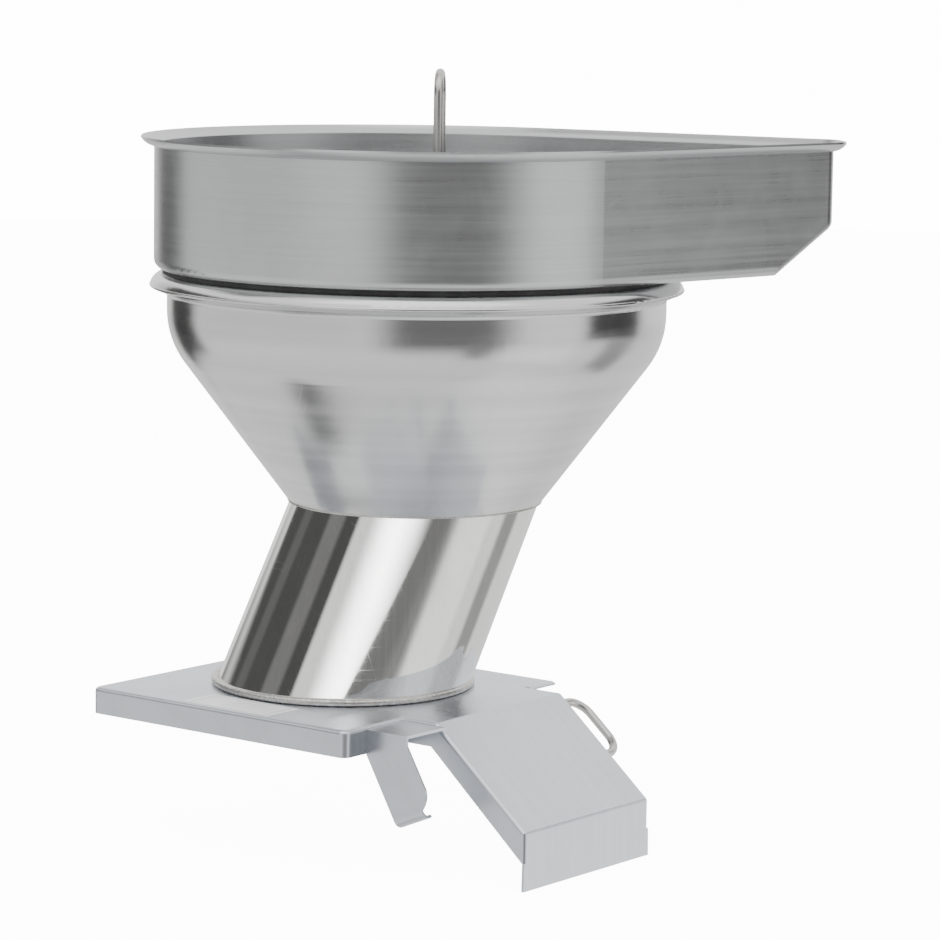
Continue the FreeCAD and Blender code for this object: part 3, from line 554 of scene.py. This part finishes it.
def satin_steel(name="Satin Steel", seam=None):
    """Brushed round the walls, so that it smears reflections upwards and downwards."""
    scene = bpy.context.scene
    material, tree, shader = steel(
        name, scene.hopper_colours.satin, scene.hopper_finish.satin_roughness,
        ("Directional Grain", {"Stretch": (16.0, 16.0, 2600.0), "Waver": 0.1}), 0.00003, 0.3, seam,
    )
    shader.inputs["Anisotropic"].default_value = scene.hopper_finish.satin_stretch
    shader.inputs["Anisotropic Rotation"].default_value = 0.25
    feed(tree, shader.inputs["Tangent"], add(tree, "Tangent", direction_type="RADIAL").outputs[0])
    return material


def spun_steel():
    scene = bpy.context.scene
    return steel(
        "Spun Steel", scene.hopper_colours.spun, scene.hopper_finish.spun_roughness,
        ("Spun Rings", {"Axis": tuple(BOWL_AXIS), "Rings": 700.0}), 0.00005, 0.4,
    )[0]


def polished_steel():
    """Mirror polish with faint lengthwise haze and the ground seam at the back."""
    scene = bpy.context.scene
    seam = {"Point": (0.0, 0.0, 0.0), "Across": (DIAGONAL, DIAGONAL, 0.0),
            "Facing": (-DIAGONAL, DIAGONAL, 0.0), "Width": 0.0016}
    return steel(
        "Polished Steel", scene.hopper_colours.polished, scene.hopper_finish.polished_roughness,
        ("Directional Grain", {"Stretch": (700.0, 700.0, 7.0), "Waver": 0.1}), 0.000012, 0.6, seam,
    )[0]


def sheet_steel():
    """Matt ground sheet with fine grain along the outlet."""
    scene = bpy.context.scene
    return steel(
        "Ground Sheet", scene.hopper_colours.sheet, scene.hopper_finish.sheet_roughness,
        ("Directional Grain", {"Stretch": (2100.0, 30.0, 30.0), "Waver": 0.6}), 0.00005, 0.8,
    )[0]


def bar_steel():
    scene = bpy.context.scene
    return steel(
        "Drawn Bar", scene.hopper_colours.bar, scene.hopper_finish.bar_roughness,
        ("Directional Grain", {"Stretch": (1500.0, 1500.0, 25.0), "Waver": 0.2}), 0.00004, 1.0,
    )[0]


def turned_steel():
    scene = bpy.context.scene
    return steel(
        "Turned Steel", scene.hopper_colours.bar, scene.hopper_finish.bar_roughness,
        ("Spun Rings", {"Axis": (0.0, 0.0, 0.0), "Rings": 1800.0}), 0.00006, 0.5,
    )[0]


def weld_metal():
    """Rippled bead, brushed bright on its crown with straw tint in its valleys."""
    need("Weld Ripple")
    scene = bpy.context.scene
    material, tree, shader, place = start_material("Weld Metal")
    ripple = place_group(tree, "Weld Ripple", Vector=place, Pitch=scene.hopper_welds.ripple)
    base = mix_colour(tree, ripple["Height"], rgba(scene.hopper_colours.weld, 1.15),
                      rgba(scene.hopper_colours.weld, 0.75))
    base = mix_colour(tree, calc(tree, "MULTIPLY", ripple["Shade"], 0.35), base,
                      rgba(scene.hopper_colours.tint))
    feed(tree, shader.inputs["Base Color"], base)
    feed(tree, shader.inputs["Roughness"],
         calc(tree, "MULTIPLY_ADD", ripple["Shade"], 0.12, 0.26))
    feed(tree, shader.inputs["Metallic"], 1.0)
    bump(tree, shader, ripple["Height"], 0.6, 0.0003)
    return material


def moulded(name, colour, roughness, grain_scale=2600.0, depth=0.00004):
    """Rubber or plastic: fine grain and a faint dusty bloom."""
    need("Moulded Grain", "Handling Marks")
    material, tree, shader, place = start_material(name)
    grain = place_group(tree, "Moulded Grain", Vector=place, Grain_Scale=grain_scale)
    marks = place_group(tree, "Handling Marks", Vector=place, Blotch_Scale=40.0)["Mask"]
    dusty = tuple(channel * 0.7 + 0.08 for channel in colour)
    base = mix_colour(tree, calc(tree, "MULTIPLY", grain["Bloom"], 0.22), rgba(colour), rgba(dusty))
    feed(tree, shader.inputs["Base Color"], base)
    feed(tree, shader.inputs["Roughness"],
         calc(tree, "MULTIPLY_ADD", marks, -0.12, roughness))
    bump(tree, shader, grain["Height"], 0.5, depth)
    return material


def nickel_plate():
    scene = bpy.context.scene
    return steel(
        "Nickel Plate", scene.hopper_colours.nickel, 0.14,
        ("Directional Grain", {"Stretch": (300.0, 300.0, 300.0), "Waver": 0.1}), 0.00001, 0.3,
    )[0]


def label_foil():
    """Blank foil: a printed frame and empty entry lines, with no lettering."""
    need("Handling Marks", "Directional Grain")
    material, tree, shader, place = start_material("Label Foil")
    low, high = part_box("rating_label")
    parts = add(tree, "SeparateXYZ")
    feed(tree, parts.inputs[0], place)
    across = remap_plain(tree, parts.outputs["X"], low.x, high.x)
    along = remap_plain(tree, parts.outputs["Y"], low.y, high.y)
    edge = calc(tree, "MINIMUM", calc(tree, "PINGPONG", across, 0.5), calc(tree, "PINGPONG", along, 0.5))
    frame_line = calc(tree, "COMPARE", edge, 0.07, 0.012)
    rule = calc(tree, "COMPARE", calc(tree, "FRACT", calc(tree, "MULTIPLY", across, 5.0)), 0.5, 0.07)
    inside = calc(tree, "GREATER_THAN", edge, 0.13)
    short = calc(tree, "LESS_THAN", along, 0.62)
    rules = calc(tree, "MULTIPLY", calc(tree, "MULTIPLY", rule, inside), short)
    ink = calc(tree, "MAXIMUM", frame_line, rules)
    marks = place_group(tree, "Handling Marks", Vector=place, Blotch_Scale=60.0)["Mask"]
    foil = bpy.context.scene.hopper_colours.foil
    base = mix_colour(tree, calc(tree, "MULTIPLY", marks, 0.25), rgba(foil), rgba(foil, 0.8))
    feed(tree, shader.inputs["Base Color"], mix_colour(tree, calc(tree, "MULTIPLY", ink, 0.5), base,
                                                       rgba(foil, 0.45)))
    feed(tree, shader.inputs["Roughness"], calc(tree, "MULTIPLY_ADD", marks, 0.15, 0.38))
    feed(tree, shader.inputs["Metallic"], 0.25)
    grain = place_group(tree, "Directional Grain", Vector=place, Stretch=(500.0, 500.0, 500.0))
    bump(tree, shader, grain["Height"], 0.2, 0.00002)
    return material


def remap_plain(tree, value, low, high):
    """Linear 0..1 between two coordinates."""
    made = add(tree, "MapRange")
    for name, number in (("Value", value), ("From Min", low), ("From Max", high)):
        feed(tree, made.inputs[name], number)
    return made.outputs["Result"]


def dress(material, *nodes):
    """Gives CAD nodes a material."""
    for name in nodes:
        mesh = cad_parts[name].data
        mesh.materials.clear()
        mesh.materials.append(material)


# ---------------------------------------------------------------------------------------------
# Weld beads


def ring_path(centre, radius, axis=Vector((0.0, 0.0, 1.0)), start=0.0, turn=math.tau, step=0.0005):
    """Points along an arc about an axis, a step apart."""
    axis = axis.normalized()
    first = axis.orthogonal().normalized()
    second = axis.cross(first)
    count = max(6, round(radius * turn / step))
    whole = abs(turn - math.tau) < 1e-6
    points = []
    for index in range(count if whole else count + 1):
        angle = start + turn * index / count
        points.append(centre + (first * math.cos(angle) + second * math.sin(angle)) * radius)
    return points, whole


def line_path(start, end, step=0.0005):
    count = max(6, round((end - start).length / step))
    return [start.lerp(end, index / count) for index in range(count + 1)], False


def bead_rings(mesh, path, closed, radius, pitch, sides):
    """Adds one rippled bead to a bmesh: its radius swells once per pitch and closes at open ends."""
    travelled, rings = 0.0, []
    count = len(path)
    for index, point in enumerate(path):
        before = path[index - 1] if index or closed else point
        after = path[(index + 1) % count] if index + 1 < count or closed else point
        along = (after - before).normalized()
        side = along.cross(Vector((0.13, 0.29, 0.95))).normalized()
        up = side.cross(along)
        swell = 1.0 + RIPPLE_SWELL * math.sin(math.tau * travelled / pitch)
        if not closed:
            fade = min(index, count - 1 - index) / max(1, min(END_RINGS, count // 3))
            swell *= math.sin(min(fade, 1.0) * math.pi / 2) * (1.0 - CLOSED_END) + CLOSED_END
        turned = [side * math.cos(math.tau * k / sides) + up * math.sin(math.tau * k / sides)
                  for k in range(sides)]
        rings.append([mesh.verts.new(point + direction * radius * swell) for direction in turned])
        travelled += (after - point).length
    for index in range(count if closed else count - 1):
        one, two = rings[index], rings[(index + 1) % count]
        for k in range(sides):
            mesh.faces.new((one[k], one[(k + 1) % sides], two[(k + 1) % sides], two[k]))
    if not closed:
        mesh.faces.new(list(reversed(rings[0])))
        mesh.faces.new(rings[-1])


def make_beads(name, body, radius, paths):
    """One object with a rippled bead along each (points, closed) path."""
    welds = bpy.context.scene.hopper_welds
    mesh = bmesh.new()
    for points, closed in paths:
        bead_rings(mesh, points, closed, radius, welds.ripple, welds.ring_steps)
    bmesh.ops.recalc_face_normals(mesh, faces=mesh.faces)
    data = bpy.data.meshes.new(name)
    mesh.to_mesh(data)
    mesh.free()
    data.shade_smooth()
    data.materials.append(bpy.data.materials.get("Weld Metal") or weld_metal())
    made = bpy.data.objects.new(name, data)
    bpy.context.scene.collection.objects.link(made)
    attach(made, body)
    return made


# ---------------------------------------------------------------------------------------------
# Operators


class HOPPER_OT_tray(bpy.types.Operator):
    """Brushes the loading tray and its spigot, with the ground seam at the back of the round"""

    bl_idname = "hopper.tray"
    bl_label = "Dress Loading Tray"

    def execute(self, context):
        seam = {"Point": tuple(BOWL_AXIS), "Across": (DIAGONAL, DIAGONAL, 0.0),
                "Facing": (-DIAGONAL, DIAGONAL, 0.0), "Width": 0.0018}
        dress(satin_steel(seam=seam), "loading_tray", "tray_spigot")
        return {"FINISHED"}


class HOPPER_OT_bowl(bpy.types.Operator):
    """Gives the hopper bowl its spun finish"""

    bl_idname = "hopper.bowl"
    bl_label = "Dress Hopper Bowl"

    def execute(self, context):
        dress(spun_steel(), "hopper_bowl")
        return {"FINISHED"}


class HOPPER_OT_tube(bpy.types.Operator):
    """Polishes the feed tube and beads its foot ring"""

    bl_idname = "hopper.tube"
    bl_label = "Dress Feed Tube"

    def execute(self, context):
        dress(polished_steel(), "feed_tube")
        dress(weld_metal(), "tube_base_ring")
        return {"FINISHED"}


class HOPPER_OT_sheet(bpy.types.Operator):
    """Gives plate, hood and latch tab their ground sheet finish"""

    bl_idname = "hopper.sheet"
    bl_label = "Dress Plate and Hood"

    def execute(self, context):
        dress(sheet_steel(), "cover_plate", "outlet_hood", "latch_tab")
        return {"FINISHED"}


class HOPPER_OT_bars(bpy.types.Operator):
    """Dresses the agitator and the lifting bow"""

    bl_idname = "hopper.bars"
    bl_label = "Dress Agitator and Bow"

    def execute(self, context):
        dress(bar_steel(), "agitator_loop", "lifting_bow")
        dress(turned_steel(), "agitator_hub", "hub_set_screw")
        return {"FINISHED"}


class HOPPER_OT_seals(bpy.types.Operator):
    """Gives the rim seal and the seat gasket their rubber"""

    bl_idname = "hopper.seals"
    bl_label = "Dress Seals"

    def execute(self, context):
        rubber = moulded("Black Rubber", context.scene.hopper_colours.rubber, 0.62)
        dress(rubber, "rim_seal", "seat_gasket")
        return {"FINISHED"}


class HOPPER_OT_underside(bpy.types.Operator):
    """Dresses the locating ring, hinge, magnet and screws below the plate"""

    bl_idname = "hopper.underside"
    bl_label = "Dress Underside"

    def execute(self, context):
        colours = context.scene.hopper_colours
        dress(satin_steel("Satin Fittings"), "locating_ring", "hinge_lugs")
        dress(bpy.data.materials["Turned Steel"], "magnet_bosses", "magnet_screws")
        dress(moulded("Black Plastic", colours.plastic, 0.42, 3200.0, 0.00005), "magnet_holder")
        dress(moulded("Natural Acetal", colours.acetal, 0.36, 1500.0, 0.00002), "hinge_bushes")
        dress(nickel_plate(), "interlock_magnet")
        return {"FINISHED"}


class HOPPER_OT_label(bpy.types.Operator):
    """Gives the rating label its blank foil"""

    bl_idname = "hopper.label"
    bl_label = "Dress Label"

    def execute(self, context):
        dress(label_foil(), "rating_label")
        return {"FINISHED"}


class HOPPER_OT_neck_weld(bpy.types.Operator):
    """Lays the fine bead where the bowl's cone meets the feed tube"""

    bl_idname = "hopper.neck_weld"
    bl_label = "Neck Weld"

    def execute(self, context):
        radius = context.scene.hopper_welds.neck_bead
        centre = Vector((BOWL_AXIS.x, BOWL_AXIS.y, BOWL_LOW))
        path = ring_path(centre, NECK_RADIUS)
        make_beads("neck_weld", "head", radius, [path])
        return {"FINISHED"}


class HOPPER_OT_bar_welds(bpy.types.Operator):
    """Lays the collar beads round the bow's ends and the agitator's legs"""

    bl_idname = "hopper.bar_welds"
    bl_label = "Bar Welds"

    def execute(self, context):
        radius = context.scene.hopper_welds.bar_bead
        low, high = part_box("lifting_bow")
        bar = BOW_BAR
        ends = (Vector((low.x, high.y - bar, high.z - bar)), Vector((low.x, low.y + bar, low.z + bar)))
        level = Vector((1.0, 0.0, 0.0))
        make_beads("bow_welds", "head", radius, [ring_path(end, bar, level) for end in ends])
        arm = math.radians(ARM_HEADING)
        sideways = Vector((-math.sin(arm), math.cos(arm), 0.0)) * LEG_HALF_GAP
        legs = [Vector((0.0, 0.0, HUB_TOP)) + sideways * sign for sign in (1, -1)]
        make_beads("leg_welds", "agitator", radius, [ring_path(leg, LEG_BAR) for leg in legs])
        return {"FINISHED"}


class HOPPER_OT_fillet_welds(bpy.types.Operator):
    """Lays the short fillets on the hinge lugs, the latch tab and the locating ring"""

    bl_idname = "hopper.fillet_welds"
    bl_label = "Fillet Welds"

    def execute(self, context):
        radius = context.scene.hopper_welds.lug_bead
        low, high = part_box("hinge_lugs")
        near, far = low.y + LUG_FILLET_INSET, high.y - LUG_FILLET_INSET
        sides = (low.x, low.x + LUG_SHEET, high.x - LUG_SHEET, high.x)
        paths = [line_path(Vector((x, near, high.z)), Vector((x, far, high.z))) for x in sides]
        make_beads("lug_welds", "head", radius, paths)
        low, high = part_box("latch_tab")
        joint = Vector((high.x, high.y, high.z - SHEET))
        paths = [line_path(joint - Vector((0.0, near, 0.0)), joint - Vector((0.0, far, 0.0)))
                 for near, far in TAB_FILLETS]
        make_beads("tab_welds", "head", radius, paths)
        low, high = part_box("locating_ring")
        centre = Vector((0.0, 0.0, high.z))
        arcs = [ring_path(centre, RING_BORE, start=math.tau * k / TACKS, turn=TACK_TURN)
                for k in range(TACKS)]
        make_beads("ring_tacks", "head", radius * TACK_SCALE, arcs)
        return {"FINISHED"}


class HOPPER_OT_studio(bpy.types.Operator):
    """Sets up the floor, the soft light all round and the camera"""

    bl_idname = "hopper.studio"
    bl_label = "Studio"

    def execute(self, context):
        build_floor(context.scene)
        build_sky(context.scene)
        build_key_light(context.scene)
        build_tube_card(context.scene)
        build_side_light(context.scene)
        build_camera(context.scene)
        return {"FINISHED"}


# ---------------------------------------------------------------------------------------------
# Stage


def build_floor(scene):
    """A round pale floor under the hood's apron. Steel mirrors the sky instead of the floor."""
    mesh = bmesh.new()
    bmesh.ops.create_circle(mesh, cap_ends=True, segments=96, radius=FLOOR_RADIUS)
    for vertex in mesh.verts:
        vertex.co.z = CAD_BOX[0].z - FLOOR_GAP
    data = bpy.data.meshes.new("floor")
    mesh.to_mesh(data)
    mesh.free()
    material, tree, shader, place = start_material("Studio Floor")
    colour = scene.hopper_colours.floor
    shade = remap(tree, noise(tree, place, 3.0, 2.0), 0.3, 0.7)
    feed(tree, shader.inputs["Base Color"], mix_colour(tree, shade, rgba(colour, 0.99), rgba(colour)))
    shader.inputs["Roughness"].default_value = 0.9
    shader.inputs["Specular IOR Level"].default_value = 0.1
    shader.inputs["Emission Color"].default_value = rgba(colour)
    seen = calc(tree, "MULTIPLY", add(tree, "LightPath").outputs["Is Camera Ray"], FLOOR_GLOW)
    feed(tree, shader.inputs["Emission Strength"], seen)
    data.materials.append(material)
    floor = bpy.data.objects.new("floor", data)
    floor.visible_glossy = False
    scene.collection.objects.link(floor)


def build_sky(scene):
    """Soft panels round the object, by bearing from the camera and elevation, in degrees."""
    need("Soft Panel")
    world = bpy.data.worlds.new("studio_sky")
    scene.world = world
    world.use_nodes = True
    tree = world.node_tree
    tree.nodes.clear()
    parts = add(tree, "SeparateXYZ")
    feed(tree, parts.inputs[0], add(tree, "TexCoord").outputs["Generated"])
    bearing = bearing_of(tree, scene, parts)
    elevation = calc(tree, "DEGREES", calc(tree, "ARCSINE", parts.outputs["Z"]))
    level = SKY_LEVEL
    for start, end, low, high, blur, brightness in SKY_PANELS:
        mask = place_group(tree, "Soft Panel", Bearing=bearing, Elevation=elevation, From=start,
                           To=end, Low=low, High=high, Blur=blur)["Mask"]
        blend = add(tree, "Mix", data_type="FLOAT")
        feed(tree, blend.inputs[0], mask)
        feed(tree, blend.inputs[2], level)
        feed(tree, blend.inputs[3], brightness)
        level = blend.outputs[0]
    soft = add(tree, "Background")
    tint = add(tree, "CombineColor")
    for channel, gain in zip(("Red", "Green", "Blue"), SKY_TINT):
        feed(tree, tint.inputs[channel], calc(tree, "MULTIPLY", level, gain))
    feed(tree, soft.inputs["Color"], tint.outputs[0])
    plain = add(tree, "Background")
    feed(tree, plain.inputs["Color"], rgba(scene.hopper_colours.floor))
    feed(tree, plain.inputs["Strength"], BACKDROP_GLOW)
    choose = add(tree, "MixShader")
    feed(tree, choose.inputs[0], add(tree, "LightPath").outputs["Is Camera Ray"])
    feed(tree, choose.inputs[1], soft.outputs[0])
    feed(tree, choose.inputs[2], plain.outputs[0])
    feed(tree, add(tree, "OutputWorld").inputs["Surface"], choose.outputs[0])


def light_only(light, name, *nodes):
    """Limits what a light or a card shines on to some CAD nodes."""
    lit = bpy.data.collections.new(name)
    for node in nodes:
        lit.objects.link(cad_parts[node])
    light.light_linking.receiver_collection = lit


def toward(scene, bearing, distance, height):
    """A point seen from the drive axis at a bearing from the camera's side, in degrees."""
    angle = scene.hopper_studio.azimuth + scene.hopper_studio.yaw - math.pi / 2 + math.radians(bearing)
    return Vector((math.cos(angle) * distance, math.sin(angle) * distance, height))


def build_tube_card(scene):
    """Low glowing card, brightest in its middle, that lays the broad white band on the feed tube."""
    mesh = bmesh.new()
    rows = []
    for bearing in CARD_BEARINGS:
        foot = toward(scene, float(bearing), CARD_DISTANCE, CAD_BOX[0].z)
        rows.append([mesh.verts.new(foot + Vector((0.0, 0.0, rise))) for rise in (0.0, CARD_HEIGHT)])
    for one, two in zip(rows, rows[1:]):
        mesh.faces.new((one[0], two[0], two[1], one[1]))
    data = bpy.data.meshes.new("tube_card")
    mesh.to_mesh(data)
    mesh.free()
    need("Soft Panel")
    material = bpy.data.materials.new("Tube Card")
    material.use_nodes = True
    tree = material.node_tree
    tree.nodes.clear()
    parts = add(tree, "SeparateXYZ")
    feed(tree, parts.inputs[0], add(tree, "TexCoord").outputs["Object"])
    bearing = bearing_of(tree, scene, parts)
    mask = place_group(tree, "Soft Panel", Bearing=bearing, From=CARD_FROM, To=CARD_TO, Low=-1.0,
                       High=1.0, Elevation=0.0, Blur=CARD_BLUR)["Mask"]
    glow = add(tree, "Emission")
    feed(tree, glow.inputs["Color"], mask)
    glow.inputs["Strength"].default_value = CARD_GLOW
    both = add(tree, "AddShader")
    feed(tree, both.inputs[0], glow.outputs[0])
    feed(tree, both.inputs[1], add(tree, "BsdfTransparent").outputs[0])
    feed(tree, add(tree, "OutputMaterial").inputs["Surface"], both.outputs[0])
    data.materials.append(material)
    card = bpy.data.objects.new("tube_card", data)
    card.visible_camera = card.visible_diffuse = card.visible_shadow = False
    scene.collection.objects.link(card)
    light_only(card, "card_receivers", "feed_tube")


def build_side_light(scene):
    """Low soft light at the right that only brightens the hood, the plate and the latch."""
    lamp = bpy.data.lights.new("side", "AREA")
    lamp.energy = SIDE_POWER
    lamp.shape = "DISK"
    lamp.size = SIDE_SIZE
    light = bpy.data.objects.new("side", lamp)
    light.location = toward(scene, SIDE_BEARING, SIDE_DISTANCE, SIDE_HEIGHT)
    light.rotation_euler = (-light.location).to_track_quat("-Z", "Y").to_euler()
    light.visible_camera = False
    scene.collection.objects.link(light)
    light_only(light, "side_receivers", "outlet_hood", "cover_plate", "latch_tab", "lifting_bow")


def bearing_of(tree, scene, parts):
    """Degrees from the camera's side round the drive axis, from separated coordinates."""
    camera_side = scene.hopper_studio.azimuth + scene.hopper_studio.yaw - math.pi / 2
    angle = calc(tree, "ARCTAN2", parts.outputs["Y"], parts.outputs["X"])
    return calc(tree, "DEGREES", calc(tree, "WRAP", calc(tree, "SUBTRACT", angle, camera_side),
                                      math.pi, -math.pi))


def build_key_light(scene):
    """Large soft light overhead that only lights matt surfaces and the floor."""
    lamp = bpy.data.lights.new("overhead", "AREA")
    lamp.energy = scene.hopper_studio.key_power
    lamp.shape = "DISK"
    lamp.size = OVERHEAD_SIZE
    light = bpy.data.objects.new("overhead", lamp)
    light.location = OVERHEAD_PLACE
    light.rotation_euler = (-light.location).to_track_quat("-Z", "Y").to_euler()
    light.visible_glossy = False
    scene.collection.objects.link(light)


def build_camera(scene):
    studio = scene.hopper_studio
    lens = bpy.data.cameras.new("camera")
    lens.lens = studio.lens
    lens.clip_end = 50.0
    camera = bpy.data.objects.new("camera", lens)
    around = Vector((math.sin(studio.azimuth), -math.cos(studio.azimuth), 0.0))
    camera.location = around * studio.distance + Vector((0.0, 0.0, studio.height))
    heading = studio.azimuth + studio.yaw
    level = Vector((-math.sin(heading), math.cos(heading), 0.0)) * math.cos(studio.pitch)
    aim = level - Vector((0.0, 0.0, math.sin(studio.pitch)))
    turn = aim.to_track_quat("-Z", "Y").to_matrix() @ Matrix.Rotation(studio.roll, 3, "Z")
    camera.rotation_euler = turn.to_euler()
    scene.collection.objects.link(camera)
    scene.camera = camera


# ---------------------------------------------------------------------------------------------
# Sidebar and start


STEPS = (
    HOPPER_OT_studio, HOPPER_OT_tray, HOPPER_OT_bowl, HOPPER_OT_tube, HOPPER_OT_sheet,
    HOPPER_OT_bars, HOPPER_OT_seals, HOPPER_OT_underside, HOPPER_OT_label,
    HOPPER_OT_neck_weld, HOPPER_OT_bar_welds, HOPPER_OT_fillet_welds,
)
GROUPS_OF_SETTINGS = {
    "hopper_colours": HopperColours,
    "hopper_finish": HopperFinish,
    "hopper_welds": HopperWelds,
    "hopper_studio": HopperStudio,
}


class HOPPER_PT_panel(bpy.types.Panel):
    """Steps and settings of the feed hopper head"""

    bl_label = "Feed Hopper Head"
    bl_idname = "HOPPER_PT_panel"
    bl_space_type = "VIEW_3D"
    bl_region_type = "UI"
    bl_category = "Hopper"

    def draw(self, context):
        for step in STEPS:
            self.layout.operator(step.bl_idname)
        for name, group in GROUPS_OF_SETTINGS.items():
            box = self.layout.box()
            for field in group.__annotations__:
                box.prop(getattr(context.scene, name), field)


def register():
    for group in GROUPS_OF_SETTINGS.values():
        bpy.utils.register_class(group)
    for name, group in GROUPS_OF_SETTINGS.items():
        setattr(bpy.types.Scene, name, PointerProperty(type=group))
    for step in STEPS:
        bpy.utils.register_class(step)
    bpy.utils.register_class(HOPPER_PT_panel)


def unregister():
    bpy.utils.unregister_class(HOPPER_PT_panel)
    for step in reversed(STEPS):
        bpy.utils.unregister_class(step)
    for name, group in GROUPS_OF_SETTINGS.items():
        delattr(bpy.types.Scene, name)
        bpy.utils.unregister_class(group)


def main():
    register()
    bpy.ops.hopper.studio()
    bpy.ops.hopper.tray()
    bpy.ops.hopper.bowl()
    bpy.ops.hopper.tube()
    bpy.ops.hopper.sheet()
    bpy.ops.hopper.bars()
    bpy.ops.hopper.seals()
    bpy.ops.hopper.underside()
    bpy.ops.hopper.label()
    bpy.ops.hopper.neck_weld()
    bpy.ops.hopper.bar_welds()
    bpy.ops.hopper.fillet_welds()


if __name__ == "__main__":
    main()
